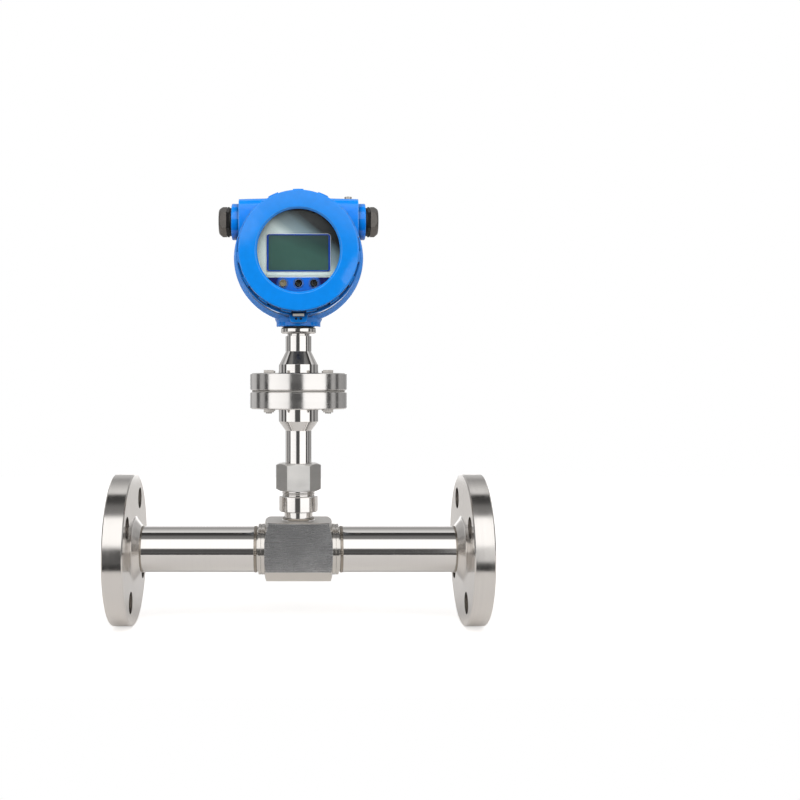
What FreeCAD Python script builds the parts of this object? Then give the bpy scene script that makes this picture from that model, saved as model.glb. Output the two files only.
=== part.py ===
import FreeCAD, Part
import math
import os

# In-line thermal mass flow meter. Millimetres, +Z up to the head, +X along the flow.
# The origin is the centre of the inlet flange's bolting face, on the pipe axis.

V = FreeCAD.Vector
X_DIR = V(1, 0, 0)
Y_DIR = V(0, 1, 0)
Z_DIR = V(0, 0, 1)

# Clearances
THREAD_PLAY = 0.2            # radial play of a nut or a gland on its thread
FIT_PLAY = 0.1               # radial play of a turned pin in its bore
RUN_GAP = 0.3                # gap between faces that pass each other

# Pipe run
RIM_TO_RIM = 378.0           # between the bolting faces of both flanges
FLANGE_D = 155.0
FLANGE_THICK = 20.6
BOLT_CIRCLE_D = 114.3
BOLT_HOLE_D = 22.2
BOLT_HOLE_COUNT = 4
BOLT_TURN_DEG = 60.0         # first hole, from +Y towards +Z
RIM_BREAK = 1.2              # chamfer round the flange rim
RAISED_FACE_D = 73.0
RAISED_FACE_HIGH = 1.6
HUB_D = 66.0
HUB_LONG = 7.5
HUB_ROOT_R = 6.0
PIPE_D = 47.0
BORE_D = 40.9

# Body block
BLOCK_LONG = 69.0
BLOCK_HIGH = 60.5
BLOCK_DEEP = 54.0
BLOCK_EDGE_CUT = 11.0        # chamfer along the two lower edges
BLOCK_TOP_CUT = 0.8          # chamfer along the two upper edges
BLOCK_FACE_D = 58.0          # flat part of the turned end face
BLOCK_END_CUT = 4.0          # how far the end cone runs back at the corners
SPIGOT_D = 52.0
SPIGOT_LONG = 6.5
SPIGOT_GROOVE_LONG = 0.6
SPIGOT_GROOVE_DEEP = 1.0
SPIGOT_NECK_D = 45.6
SPIGOT_NECK_LONG = 3.0

# Stem socket, ferrule and union nut
SOCKET_NECK_D = 29.0
SOCKET_NECK_LONG = 9.25
SOCKET_WELD = 2.6            # leg of the weld round the neck's foot
SOCKET_COLLAR_D = 39.8
SOCKET_COLLAR_LONG = 16.1
SOCKET_THREAD_D = 33.0
SOCKET_THREAD_SHOWN = 5.2    # thread seen below the nut
SOCKET_THREAD_HIDDEN = 16.0  # thread inside the nut
SOCKET_STEP_HIGH = SOCKET_NECK_LONG + 1.5   # seat of the tube above the block, inside the collar
NUT_ACROSS_FLATS = 40.0
NUT_LONG = 27.7
NUT_CHAMFER = 1.6
FERRULE_WALL = 2.0
FERRULE_LONG = 5.6

# Lower and upper neck, sensor flanges
TUBE_D = 26.9
NECK_BORE_D = 18.0
LOWER_TUBE_SHOWN = 34.0
LOWER_CONE_LONG = 9.5
LOWER_CYLINDER_LONG = 13.0
NECK_CYLINDER_D = 40.8
SENSOR_FLANGE_D = 100.0
SENSOR_FLANGE_THICK = 17.6
SENSOR_FLANGE_BREAK = 1.0    # chamfer round both edges
GASKET_D = 95.5
GASKET_THICK = 1.2
SMALL_BOLT_CIRCLE_D = 84.0
SMALL_BOLT_COUNT = 4
SMALL_BOLT_TURN_DEG = 45.0
SMALL_BOLT_D = 6.0
SMALL_HOLE_D = 6.6
SMALL_HEAD_ACROSS_FLATS = 10.0
SMALL_HEAD_HIGH = 3.0
SMALL_BOLT_PROUD = 1.2       # bolt end past its nut
UPPER_CYLINDER_LONG = 8.9
UPPER_CONE_LONG = 13.6
UPPER_TUBE_LONG = 15.8
NECK_GROOVE_LONG = 2.0
NECK_GROOVE_D = 23.0
LOCK_RING_D = 36.2
LOCK_RING_LONG = 7.1
LOCK_RING_EDGE_R = 2.4
SWIVEL_PIN_D = 22.0
RETAINER_THICK = 1.5
RETAINER_D = 27.0
RETAINER_GROOVE_DEEP = 0.8
SWIVEL_PIN_TOP = 3.5         # pin above its retaining ring

# Probe
PROBE_D = 21.8
PROBE_SPIGOT_LONG = 14.0     # inside the lower tube's end
PROBE_RECESS = 1.5           # probe face above the crown of the flow bore
SENSOR_TUBE_D = 3.2
SENSOR_SPACING = 11.0
SENSOR_TIP_Z = -5.0
GUARD_WALL = 1.6
GUARD_WINDOW_WIDE = 14.0
GUARD_TIP_Z = -12.0
GUARD_END_THICK = 2.5
CABLE_D = 6.0
PLUG_LONG = 11.0
PIN_D = 1.3
PIN_LONG = 7.0
PIN_CIRCLE_D = 9.0
PIN_COUNT = 4

# Housing of the head; its own axis runs along Y
BODY_D = 123.0
BODY_WALL = 7.5
BODY_ABOVE_NECK = 8.4        # barrel's lowest line above the neck boss
HEAD_AXIS_ABOVE_NECK = BODY_D / 2 + BODY_ABOVE_NECK
HEAD_HALF_DEEP = 72.0        # from the stem axis to a cover's face
COVER_RIM_DEEP = 18.0        # visible depth of a cover
BELLY_PROUD = 4.5
BODY_BELLY_D = BODY_D + 2 * BELLY_PROUD
BELLY_FRONT = 13.0           # belly's reach forward of the stem axis
BELLY_BACK = 26.0            # belly's reach behind the stem axis
BELLY_SLOPE = 9.0
CAVITY_D = BODY_D - 2 * BODY_WALL
PARTITION_FRONT = 18.0       # partition's front face, forward of the stem axis
PARTITION_THICK = 6.0
NECK_BOSS_D = 45.7
NECK_BOSS_HIGH = 9.0
NECK_BOSS_FOOT_D = 50.0
SPOT_FACE_D = 31.0
SPOT_FACE_DROP = CAVITY_D / 2 + 1.5   # below the head axis
CONDUIT_ABOVE_AXIS = 38.6
BOSS_REACH = 60.7
BOSS_WIDE = 45.0
BOSS_HIGH = 42.8
BOSS_CORNER_R = 11.0
BOSS_DRAFT = 1.5             # how much larger the boss is at its root, each way
COLLAR_D = 37.4
COLLAR_LONG = 7.8
COLLAR_EDGE_R = 1.0
GLAND_THREAD_D = 20.0

# Covers
COVER_RIM_SETBACK = 3.0      # cover's rim inside the barrel's outside
COVER_RIM_D = BODY_D - 2 * COVER_RIM_SETBACK
COVER_FACE_D = COVER_RIM_D - 0.6
COVER_EDGE_R = 1.4
COVER_SKIRT_LONG = 13.5
COVER_SKIRT_WALL = 4.6
LUG_COUNT = 15
LUG_WIDE_DEG = 10.0
LUG_PROUD = 1.3
LUG_FIRST_DEG = 90.3
LUG_FRONT_SETBACK = 3.6      # lug starts this far behind the cover's face
WINDOW_LAP = 5.1             # glass behind the window's lip
WINDOW_BEVEL = 1.8
WINDOW_LIP_THICK = 3.5
WINDOW_SEAL_THICK = 0.5
POCKET_WALL = 3.85           # between the glass's pocket and the skirt's inside
GLASS_THICK = 6.0
GLASS_PLAY = 0.25
RING_THICK = 3.5
RING_WIDE = 4.0
ORING_SECTION_D = 2.2
ORING_SETBACK = 2.2          # ring's centre behind the cover's rim
REAR_DISH_D = 84.0
REAR_DISH_DEEP = 1.6
COVER_WALL = 5.0

# Display stack, measured back from the front cover's face
FACEPLATE_BEHIND = 17.0
FACEPLATE_GAP = 2.6          # between the faceplate and the skirt's inside
FACEPLATE_THICK = 2.0
LCD_SIDE_MARGIN = 17.45      # screen's side inside the faceplate's edge, on the level of the axis
LCD_TOP_MARGIN = 29.5        # screen's top inside the faceplate's top
LCD_DROP = 0.8
LCD_PLAY = 0.1
LCD_FRAME_EDGE = 1.9
LCD_FRAME_PROUD = 1.2
LCD_CORNER_R = 1.6
LCD_BELOW_FRAME = 0.6
BEAD_RISE = 24.9             # raised bead under the screen, above the faceplate's lowest point
BEAD_PAST_LCD = 1.95         # how far the bead runs past each side of the screen
BEAD_HIGH = 3.0
BEAD_END_R = 0.8
BEAD_PROUD = 0.8
LABEL_RISE = 21.8            # film's top edge above the faceplate's lowest point
LABEL_THICK = 0.3
LABEL_MARGIN = 1.0
BUTTON_RISE = 16.1           # buttons above the faceplate's lowest point
BUTTON_TO_POST = 7.37        # outer button's centre inside the lower right post's, across
BUTTON_D = 6.9
BUTTON_PROUD = 1.4
BUTTON_FLANGE_D = 8.8
BUTTON_FLANGE_THICK = 0.8
BUTTON_TRAVEL = 0.8
BUTTON_NAMES = ("left", "middle", "right")
BOARD_SETBACK = 2.5          # board's edge inside the faceplate's
BOARD_THICK = 1.6
BOARD_BEHIND_PLATE = 3.5
POST_D = 5.0
POST_SETBACK = 7.5           # posts inside the faceplate's edge
POST_COUNT = 4
POST_TURN_DEG = 35.0
SWITCH_WIDE = 6.0
SWITCH_PLUNGER_D = 3.2
MODULE_EDGE_R = 2.0
MODULE_BEHIND_BOARD = 4.0

# Wiring side and small fasteners
TERMINAL_COUNT = 6
TERMINAL_PITCH = 9.0
TERMINAL_HIGH = 18.0
TERMINAL_DEEP = 14.0
TERMINAL_DROP = 4.0
TERMINAL_SCREW_D = 4.4
TERMINAL_SCREW_PROUD = 0.8
WIRE_HOLE_D = 3.6
SET_SCREW_D = 5.0
LOCK_LUG_WIDE = 16.0
LOCK_LUG_LONG = 12.0
LOCK_LUG_PROUD = 7.0         # below the barrel
LOCK_LUG_REACH = BODY_D / 2 + LOCK_LUG_PROUD
LOCK_SCREW_D = 4.0
LOCK_CLAMP_WIDE = 11.0
LOCK_CLAMP_THICK = 2.2
LOCK_CLAMP_OUT = 6.0         # clamp's reach under the cover
LOCK_CLAMP_IN = 7.0          # clamp's hold in the casting
SEAL_HOLE_D = 2.4            # holes for a seal wire in the lug's face
SEAL_HOLE_SPACING = 4.6
SEAL_HOLE_DEEP = 3.0
SCREW_SOCKET_D = 3.0
SCREW_SOCKET_SMALL_D = 2.0
EARTH_SCREW_D = 4.0
EARTH_HEAD_D = 7.6
EARTH_HEAD_HIGH = 2.6
EARTH_WASHER_D = 10.0
EARTH_WASHER_THICK = 1.0
EARTH_SET_IN = 9.5           # outer earth screw back from the boss's end
EARTH_DEEP = 8.0

# Cable glands
WASHER_THICK = 2.4
WASHER_D = 29.0
GLAND_HEX_AF = 27.0
GLAND_HEX_LONG = 2.6
GLAND_INNER_THREAD_D = 21.0
GLAND_INNER_THREAD_LONG = 5.6
GLAND_BORE_D = 14.0
GLAND_INSERT_LONG = 16.0     # male thread inside the housing
GLAND_NUT_LONG = 8.0
GLAND_NUT_HOLE_D = 12.0
GLAND_NUT_DOME = 3.0
GLAND_NUT_WALL = 1.6
SEAL_BORE_D = 9.0

# Places worked out from the sizes above
STEM_X = RIM_TO_RIM / 2
BLOCK_TOP = BLOCK_HIGH / 2
COLLAR_BOTTOM = BLOCK_TOP + SOCKET_NECK_LONG
THREAD_BOTTOM = COLLAR_BOTTOM + SOCKET_COLLAR_LONG
NUT_BOTTOM = THREAD_BOTTOM + SOCKET_THREAD_SHOWN
SOCKET_TOP = NUT_BOTTOM + SOCKET_THREAD_HIDDEN
NUT_TOP = NUT_BOTTOM + NUT_LONG
LOWER_CONE_BOTTOM = NUT_TOP + LOWER_TUBE_SHOWN
LOWER_CYLINDER_BOTTOM = LOWER_CONE_BOTTOM + LOWER_CONE_LONG
LOWER_FLANGE_BOTTOM = LOWER_CYLINDER_BOTTOM + LOWER_CYLINDER_LONG
GASKET_BOTTOM = LOWER_FLANGE_BOTTOM + SENSOR_FLANGE_THICK
UPPER_FLANGE_BOTTOM = GASKET_BOTTOM + GASKET_THICK
UPPER_FLANGE_TOP = UPPER_FLANGE_BOTTOM + SENSOR_FLANGE_THICK
UPPER_CONE_BOTTOM = UPPER_FLANGE_TOP + UPPER_CYLINDER_LONG
UPPER_TUBE_BOTTOM = UPPER_CONE_BOTTOM + UPPER_CONE_LONG
NECK_GROOVE_BOTTOM = UPPER_TUBE_BOTTOM + UPPER_TUBE_LONG
LOCK_RING_BOTTOM = NECK_GROOVE_BOTTOM + NECK_GROOVE_LONG
NECK_TOP = LOCK_RING_BOTTOM + LOCK_RING_LONG
BOSS_BOTTOM = NECK_TOP + RUN_GAP
HEAD_Z = BOSS_BOTTOM + HEAD_AXIS_ABOVE_NECK
SPOT_FACE_Z = HEAD_Z - SPOT_FACE_DROP
RETAINER_BOTTOM = SPOT_FACE_Z + RUN_GAP
PIN_TOP = RETAINER_BOTTOM + RETAINER_THICK + SWIVEL_PIN_TOP
CONDUIT_Z = HEAD_Z + CONDUIT_ABOVE_AXIS
COLLAR_END = BOSS_REACH + COLLAR_LONG
WASHER_END = COLLAR_END + WASHER_THICK
GLAND_HEX_END = WASHER_END + GLAND_HEX_LONG

FRONT_FACE_Y = -HEAD_HALF_DEEP
COVER_BACK_Y = FRONT_FACE_Y + COVER_RIM_DEEP
BODY_RIM_Y = COVER_BACK_Y + RUN_GAP
SKIRT_R = CAVITY_D / 2 - RUN_GAP
SKIRT_INNER_R = SKIRT_R - COVER_SKIRT_WALL
GLASS_D = 2 * (SKIRT_INNER_R - POCKET_WALL - GLASS_PLAY)
WINDOW_D = GLASS_D - 2 * WINDOW_LAP
RING_D_IN = GLASS_D - 2 * RING_WIDE
FACEPLATE_D = 2 * (SKIRT_INNER_R - FACEPLATE_GAP)
LCD_WIDE = FACEPLATE_D - 2 * LCD_SIDE_MARGIN
LCD_HIGH = FACEPLATE_D - 2 * LCD_TOP_MARGIN
BEAD_WIDE = LCD_WIDE + 2 * BEAD_PAST_LCD
BEAD_DROP = FACEPLATE_D / 2 - BEAD_RISE
LABEL_DROP = FACEPLATE_D / 2 - LABEL_RISE
BUTTON_DROP = FACEPLATE_D / 2 - BUTTON_RISE
BOARD_D = FACEPLATE_D - 2 * BOARD_SETBACK
POST_CIRCLE_D = FACEPLATE_D - 2 * POST_SETBACK
BUTTON_PITCH = POST_CIRCLE_D / 2 * math.sin(math.radians(POST_TURN_DEG)) - BUTTON_TO_POST
MODULE_D = 2 * (SKIRT_INNER_R - FIT_PLAY)
GLASS_FRONT_Y = FRONT_FACE_Y + WINDOW_LIP_THICK + WINDOW_SEAL_THICK
GLASS_BACK_Y = GLASS_FRONT_Y + GLASS_THICK
PLATE_Y = FRONT_FACE_Y + FACEPLATE_BEHIND
PLATE_BACK_Y = PLATE_Y + FACEPLATE_THICK
BOARD_Y = PLATE_BACK_Y + BOARD_BEHIND_PLATE
BOARD_BACK_Y = BOARD_Y + BOARD_THICK
MODULE_Y = BOARD_BACK_Y + MODULE_BEHIND_BOARD
PARTITION_Y = -PARTITION_FRONT
PARTITION_BACK_Y = PARTITION_Y + PARTITION_THICK
LCD_Z = HEAD_Z - LCD_DROP
PROBE_FACE_Z = BORE_D / 2 - PROBE_RECESS
TUBE_END_Z = BLOCK_TOP + SOCKET_STEP_HIGH + RUN_GAP
CLAMP_TOP_Z = HEAD_Z - COVER_RIM_D / 2 - LUG_PROUD - RUN_GAP
CLAMP_SEAT_Z = CLAMP_TOP_Z - LOCK_CLAMP_THICK


def outline(points, place):
    """Closed wire through (u, v) or (u, v, radius) points, set in space by place(u, v).

    A point with a radius has its corner rounded by the arc that touches both of its sides.
    """
    count = len(points)
    stops = []
    for i in range(count):
        corner = V(points[i][0], points[i][1], 0)
        radius = points[i][2] if len(points[i]) > 2 else 0.0
        if radius <= 0:
            stops.append((corner, None, corner))
            continue
        before = V(points[i - 1][0], points[i - 1][1], 0) - corner
        after = V(points[(i + 1) % count][0], points[(i + 1) % count][1], 0) - corner
        before.normalize()
        after.normalize()
        half = before.getAngle(after) / 2
        reach = radius / math.tan(half)
        middle = before + after
        middle.normalize()
        middle = corner + middle * (radius / math.sin(half) - radius)
        stops.append((corner + before * reach, middle, corner + after * reach))
    edges = []
    for i in range(count):
        start, middle, end = stops[i]
        last_end = stops[i - 1][2]
        if (start - last_end).Length > 1e-6:
            edges.append(Part.makeLine(place(last_end.x, last_end.y), place(start.x, start.y)))
        if middle is not None:
            arc = Part.Arc(place(start.x, start.y), place(middle.x, middle.y), place(end.x, end.y))
            edges.append(arc.toShape())
    return Part.Wire(edges)


def turned_x(points):
    """Solid turned about the pipe axis from (x, r) points."""
    face = Part.Face(outline(points, lambda x, r: V(x, 0, r)))
    return face.revolve(V(0, 0, 0), X_DIR, 360)


def turned_z(points):
    """Solid turned about the stem axis from (r, z) points."""
    face = Part.Face(outline(points, lambda r, z: V(STEM_X + r, 0, z)))
    return face.revolve(V(STEM_X, 0, 0), Z_DIR, 360)


def turned_head(points):
    """Solid turned about the head's axis, along Y, from (r, y) points."""
    face = Part.Face(outline(points, lambda r, y: V(STEM_X + r, y, HEAD_Z)))
    return face.revolve(V(STEM_X, 0, HEAD_Z), Y_DIR, 360)


def turned_conduit(points, side):
    """Solid turned about a conduit's axis from (x, r) points, x counted outwards from the stem."""
    face = Part.Face(outline(points, lambda x, r: V(STEM_X + side * x, 0, CONDUIT_Z + r)))
    return face.revolve(V(STEM_X, 0, CONDUIT_Z), X_DIR, 360)


def rod(diameter, start, direction, length):
    return Part.makeCylinder(diameter / 2, length, start, direction)


def box(x_min, x_max, y_min, y_max, z_min, z_max):
    return Part.makeBox(x_max - x_min, y_max - y_min, z_max - z_min, V(x_min, y_min, z_min))


def rounded_plate(wide, high, radius, y, thick, centre_z):
    """Rounded rectangle facing the viewer, centred on the head's axis in X."""
    u, v = wide / 2, high / 2
    corners = [(-u, -v, radius), (u, -v, radius), (u, v, radius), (-u, v, radius)]
    wire = outline(corners, lambda a, b: V(STEM_X + a, y, centre_z + b))
    return Part.Face(wire).extrude(V(0, thick, 0))


def hexagon(across_flats, place, turn_deg=0.0):
    """Six-sided wire with the given size across flats; place(u, v) sets it in space."""
    radius = across_flats / math.sqrt(3)
    corners = []
    for i in range(6):
        angle = math.radians(60 * i + turn_deg)
        corners.append((radius * math.cos(angle), radius * math.sin(angle)))
    return outline(corners, place)


def ring_places(circle_d, count, turn_deg):
    """Pairs (u, v) evenly spaced on a circle."""
    places = []
    for i in range(count):
        angle = math.radians(turn_deg + 360.0 * i / count)
        places.append((circle_d / 2 * math.cos(angle), circle_d / 2 * math.sin(angle)))
    return places


def cut_all(shape, tools):
    return shape.cut(Part.makeCompound(tools))


def fused(shapes):
    return shapes[0].fuse(shapes[1:]).removeSplitter()


# Pipe run: two welding-neck flanges, two pipes and the machined block between them

def flange(outward):
    """Welding-neck flange. outward is -1 at the inlet and 1 at the outlet."""
    face_x = 0.0 if outward < 0 else RIM_TO_RIM

    def at(distance):
        return face_x - outward * distance

    body = turned_x([
        (at(-RAISED_FACE_HIGH), BORE_D / 2),
        (at(-RAISED_FACE_HIGH), RAISED_FACE_D / 2),
        (at(0), RAISED_FACE_D / 2),
        (at(0), FLANGE_D / 2 - RIM_BREAK),
        (at(RIM_BREAK), FLANGE_D / 2),
        (at(FLANGE_THICK - RIM_BREAK), FLANGE_D / 2),
        (at(FLANGE_THICK), FLANGE_D / 2 - RIM_BREAK),
        (at(FLANGE_THICK), HUB_D / 2, HUB_ROOT_R),
        (at(FLANGE_THICK + HUB_LONG), PIPE_D / 2),
        (at(FLANGE_THICK + HUB_LONG), BORE_D / 2),
    ])
    holes = []
    for y, z in ring_places(BOLT_CIRCLE_D, BOLT_HOLE_COUNT, BOLT_TURN_DEG):
        start = V(at(-RAISED_FACE_HIGH - RUN_GAP), y, z)
        holes.append(rod(BOLT_HOLE_D, start, V(-outward, 0, 0), FLANGE_THICK + RAISED_FACE_HIGH + 1))
    return cut_all(body, holes)


def pipe(outward):
    """Straight pipe from a flange's hub to the block's spigot."""
    hub_x = FLANGE_THICK + HUB_LONG
    spigot_x = STEM_X - BLOCK_LONG / 2 - SPIGOT_LONG - SPIGOT_NECK_LONG
    if outward > 0:
        hub_x, spigot_x = RIM_TO_RIM - hub_x, RIM_TO_RIM - spigot_x
    return turned_x([
        (hub_x, BORE_D / 2), (hub_x, PIPE_D / 2), (spigot_x, PIPE_D / 2), (spigot_x, BORE_D / 2),
    ])


def body_block():
    """Square bar with two long edges cut, both ends turned to a cone and a grooved spigot."""
    half_deep = BLOCK_DEEP / 2
    section = [
        (-half_deep, -BLOCK_TOP + BLOCK_EDGE_CUT),
        (-half_deep + BLOCK_EDGE_CUT, -BLOCK_TOP),
        (half_deep - BLOCK_EDGE_CUT, -BLOCK_TOP),
        (half_deep, -BLOCK_TOP + BLOCK_EDGE_CUT),
        (half_deep, BLOCK_TOP - BLOCK_TOP_CUT),
        (half_deep - BLOCK_TOP_CUT, BLOCK_TOP),
        (-half_deep + BLOCK_TOP_CUT, BLOCK_TOP),
        (-half_deep, BLOCK_TOP - BLOCK_TOP_CUT),
    ]
    bar = Part.Face(outline(section, lambda y, z: V(STEM_X - BLOCK_LONG / 2, y, z)))
    bar = bar.extrude(V(BLOCK_LONG, 0, 0))
    corner_r = math.hypot(half_deep, BLOCK_TOP)
    half = BLOCK_LONG / 2
    envelope = turned_x([
        (STEM_X - half, 0),
        (STEM_X - half, BLOCK_FACE_D / 2),
        (STEM_X - half + BLOCK_END_CUT, corner_r),
        (STEM_X + half - BLOCK_END_CUT, corner_r),
        (STEM_X + half, BLOCK_FACE_D / 2),
        (STEM_X + half, 0),
    ])
    shape = bar.common(envelope)
    groove_x = half + SPIGOT_LONG / 2
    for side in (-1, 1):
        spigot = turned_x([
            (STEM_X + side * (half - 1), 0),
            (STEM_X + side * (half - 1), SPIGOT_D / 2),
            (STEM_X + side * groove_x, SPIGOT_D / 2),
            (STEM_X + side * groove_x, SPIGOT_D / 2 - SPIGOT_GROOVE_DEEP),
            (STEM_X + side * (groove_x + SPIGOT_GROOVE_LONG), SPIGOT_D / 2 - SPIGOT_GROOVE_DEEP),
            (STEM_X + side * (groove_x + SPIGOT_GROOVE_LONG), SPIGOT_D / 2),
            (STEM_X + side * (half + SPIGOT_LONG), SPIGOT_D / 2),
            (STEM_X + side * (half + SPIGOT_LONG), SPIGOT_NECK_D / 2),
            (STEM_X + side * (half + SPIGOT_LONG + SPIGOT_NECK_LONG), SPIGOT_NECK_D / 2),
            (STEM_X + side * (half + SPIGOT_LONG + SPIGOT_NECK_LONG), 0),
        ])
        shape = shape.fuse(spigot)
    reach = half + SPIGOT_LONG + SPIGOT_NECK_LONG
    flow_bore = rod(BORE_D, V(STEM_X - reach - 1, 0, 0), X_DIR, 2 * reach + 2)
    probe_bore = rod(PROBE_D + 2 * FIT_PLAY, V(STEM_X, 0, 0), Z_DIR, BLOCK_TOP + 1)
    return cut_all(shape, [flow_bore, probe_bore])


# Probe seat: welded socket, ferrule and union nut

def stem_socket():
    probe_r = PROBE_D / 2 + FIT_PLAY
    tube_r = TUBE_D / 2 + FIT_PLAY
    seat_r = tube_r + FERRULE_WALL - FIT_PLAY
    return turned_z([
        (probe_r, BLOCK_TOP),
        (SOCKET_NECK_D / 2 + SOCKET_WELD, BLOCK_TOP),
        (SOCKET_NECK_D / 2, BLOCK_TOP + SOCKET_WELD),
        (SOCKET_NECK_D / 2, COLLAR_BOTTOM - 0.6),
        (SOCKET_COLLAR_D / 2 - 0.6, COLLAR_BOTTOM),
        (SOCKET_COLLAR_D / 2, COLLAR_BOTTOM + 0.6),
        (SOCKET_COLLAR_D / 2, THREAD_BOTTOM - 0.8),
        (SOCKET_COLLAR_D / 2 - 0.8, THREAD_BOTTOM),
        (SOCKET_THREAD_D / 2, THREAD_BOTTOM),
        (SOCKET_THREAD_D / 2, SOCKET_TOP - 0.5),
        (SOCKET_THREAD_D / 2 - 0.5, SOCKET_TOP),
        (seat_r, SOCKET_TOP),
        (tube_r, SOCKET_TOP - FERRULE_LONG / 2),
        (tube_r, BLOCK_TOP + SOCKET_STEP_HIGH),
        (probe_r, BLOCK_TOP + SOCKET_STEP_HIGH),
    ])


def ferrule():
    """Ring with two cones that seals the tube in its socket."""
    tube_r = TUBE_D / 2
    widest_z = SOCKET_TOP + FIT_PLAY
    return turned_z([
        (tube_r, widest_z - FERRULE_LONG / 2),
        (tube_r + FERRULE_WALL, widest_z),
        (tube_r + FERRULE_WALL, widest_z + 0.6),
        (tube_r + FIT_PLAY, widest_z + FERRULE_LONG / 2 + 0.6),
        (tube_r, widest_z + FERRULE_LONG / 2 + 0.6),
    ])


def union_nut():
    """Hexagon nut with both ends turned to a chamfer and a cone inside that presses the ferrule."""
    prism = Part.Face(hexagon(NUT_ACROSS_FLATS, lambda u, v: V(STEM_X + u, v, NUT_BOTTOM)))
    prism = prism.extrude(V(0, 0, NUT_LONG))
    corner_r = NUT_ACROSS_FLATS / math.sqrt(3)
    envelope = turned_z([
        (0, NUT_BOTTOM),
        (NUT_ACROSS_FLATS / 2 - 0.3, NUT_BOTTOM),
        (corner_r, NUT_BOTTOM + NUT_CHAMFER),
        (corner_r, NUT_TOP - NUT_CHAMFER),
        (NUT_ACROSS_FLATS / 2 - 0.3, NUT_TOP),
        (0, NUT_TOP),
    ])
    thread_r = SOCKET_THREAD_D / 2 + THREAD_PLAY
    tube_r = TUBE_D / 2
    cone_z = SOCKET_TOP + FIT_PLAY + 0.6
    hollow = turned_z([
        (0, NUT_BOTTOM - 1),
        (thread_r, NUT_BOTTOM - 1),
        (thread_r, cone_z),
        (tube_r + FERRULE_WALL + RUN_GAP, cone_z),
        (tube_r + THREAD_PLAY, cone_z + FERRULE_LONG / 2 + RUN_GAP),
        (tube_r + THREAD_PLAY, NUT_TOP + 1),
        (0, NUT_TOP + 1),
    ])
    return prism.common(envelope).cut(hollow)


# Stem: necks, sensor flanges, their bolts and the swivel

def lower_neck():
    return turned_z([
        (NECK_BORE_D / 2, TUBE_END_Z),
        (TUBE_D / 2, TUBE_END_Z),
        (TUBE_D / 2, LOWER_CONE_BOTTOM),
        (NECK_CYLINDER_D / 2, LOWER_CYLINDER_BOTTOM),
        (NECK_CYLINDER_D / 2, LOWER_FLANGE_BOTTOM),
        (NECK_BORE_D / 2, LOWER_FLANGE_BOTTOM),
    ])


def small_bolt_places():
    return ring_places(SMALL_BOLT_CIRCLE_D, SMALL_BOLT_COUNT, SMALL_BOLT_TURN_DEG)


def sensor_flange(bottom, thick, diameter, edge):
    """Round plate with the stem's bore and the ring of small bolt holes."""
    plate = turned_z([
        (NECK_BORE_D / 2, bottom),
        (diameter / 2 - edge, bottom),
        (diameter / 2, bottom + edge),
        (diameter / 2, bottom + thick - edge),
        (diameter / 2 - edge, bottom + thick),
        (NECK_BORE_D / 2, bottom + thick),
    ])
    holes = []
    for u, v in small_bolt_places():
        holes.append(rod(SMALL_HOLE_D, V(STEM_X + u, v, bottom - 1), Z_DIR, thick + 2))
    return cut_all(plate, holes)


def upper_neck():
    pin_r = SWIVEL_PIN_D / 2
    groove_r = pin_r - RETAINER_GROOVE_DEEP
    return turned_z([
        (NECK_BORE_D / 2, UPPER_FLANGE_TOP),
        (NECK_CYLINDER_D / 2, UPPER_FLANGE_TOP),
        (NECK_CYLINDER_D / 2, UPPER_CONE_BOTTOM),
        (TUBE_D / 2, UPPER_TUBE_BOTTOM),
        (TUBE_D / 2, NECK_GROOVE_BOTTOM),
        (NECK_GROOVE_D / 2, NECK_GROOVE_BOTTOM),
        (NECK_GROOVE_D / 2, NECK_TOP),
        (pin_r, NECK_TOP),
        (pin_r, RETAINER_BOTTOM),
        (groove_r, RETAINER_BOTTOM),
        (groove_r, RETAINER_BOTTOM + RETAINER_THICK),
        (pin_r, RETAINER_BOTTOM + RETAINER_THICK),
        (pin_r, PIN_TOP),
        (NECK_BORE_D / 2, PIN_TOP),
    ])


def swivel_lock_ring():
    return turned_z([
        (NECK_GROOVE_D / 2, LOCK_RING_BOTTOM),
        (LOCK_RING_D / 2, LOCK_RING_BOTTOM, LOCK_RING_EDGE_R),
        (LOCK_RING_D / 2, NECK_TOP, LOCK_RING_EDGE_R),
        (NECK_GROOVE_D / 2, NECK_TOP),
    ])


def neck_retaining_ring():
    inner_r = SWIVEL_PIN_D / 2 - RETAINER_GROOVE_DEEP
    return turned_z([
        (inner_r, RETAINER_BOTTOM),
        (RETAINER_D / 2, RETAINER_BOTTOM),
        (RETAINER_D / 2, RETAINER_BOTTOM + RETAINER_THICK),
        (inner_r, RETAINER_BOTTOM + RETAINER_THICK),
    ])


def small_hexagon(u, v, z):
    prism = hexagon(SMALL_HEAD_ACROSS_FLATS, lambda a, b: V(STEM_X + u + a, v + b, z), 30.0)
    return Part.Face(prism).extrude(V(0, 0, SMALL_HEAD_HIGH))


def flange_bolts():
    """Hexagon bolts, heads on the upper flange."""
    bolts = []
    foot = LOWER_FLANGE_BOTTOM - SMALL_HEAD_HIGH - SMALL_BOLT_PROUD
    for u, v in small_bolt_places():
        shank = rod(SMALL_BOLT_D, V(STEM_X + u, v, foot), Z_DIR, UPPER_FLANGE_TOP - foot)
        bolts.append(small_hexagon(u, v, UPPER_FLANGE_TOP).fuse(shank))
    return Part.makeCompound(bolts)


def flange_nuts():
    nuts = []
    bottom = LOWER_FLANGE_BOTTOM - SMALL_HEAD_HIGH
    for u, v in small_bolt_places():
        hole = rod(SMALL_BOLT_D + 2 * FIT_PLAY, V(STEM_X + u, v, bottom - 1), Z_DIR, SMALL_HEAD_HIGH + 2)
        nuts.append(small_hexagon(u, v, bottom).cut(hole))
    return Part.makeCompound(nuts)


# Probe: body, two sensor tubes, guard, cable and feedthrough

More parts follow.
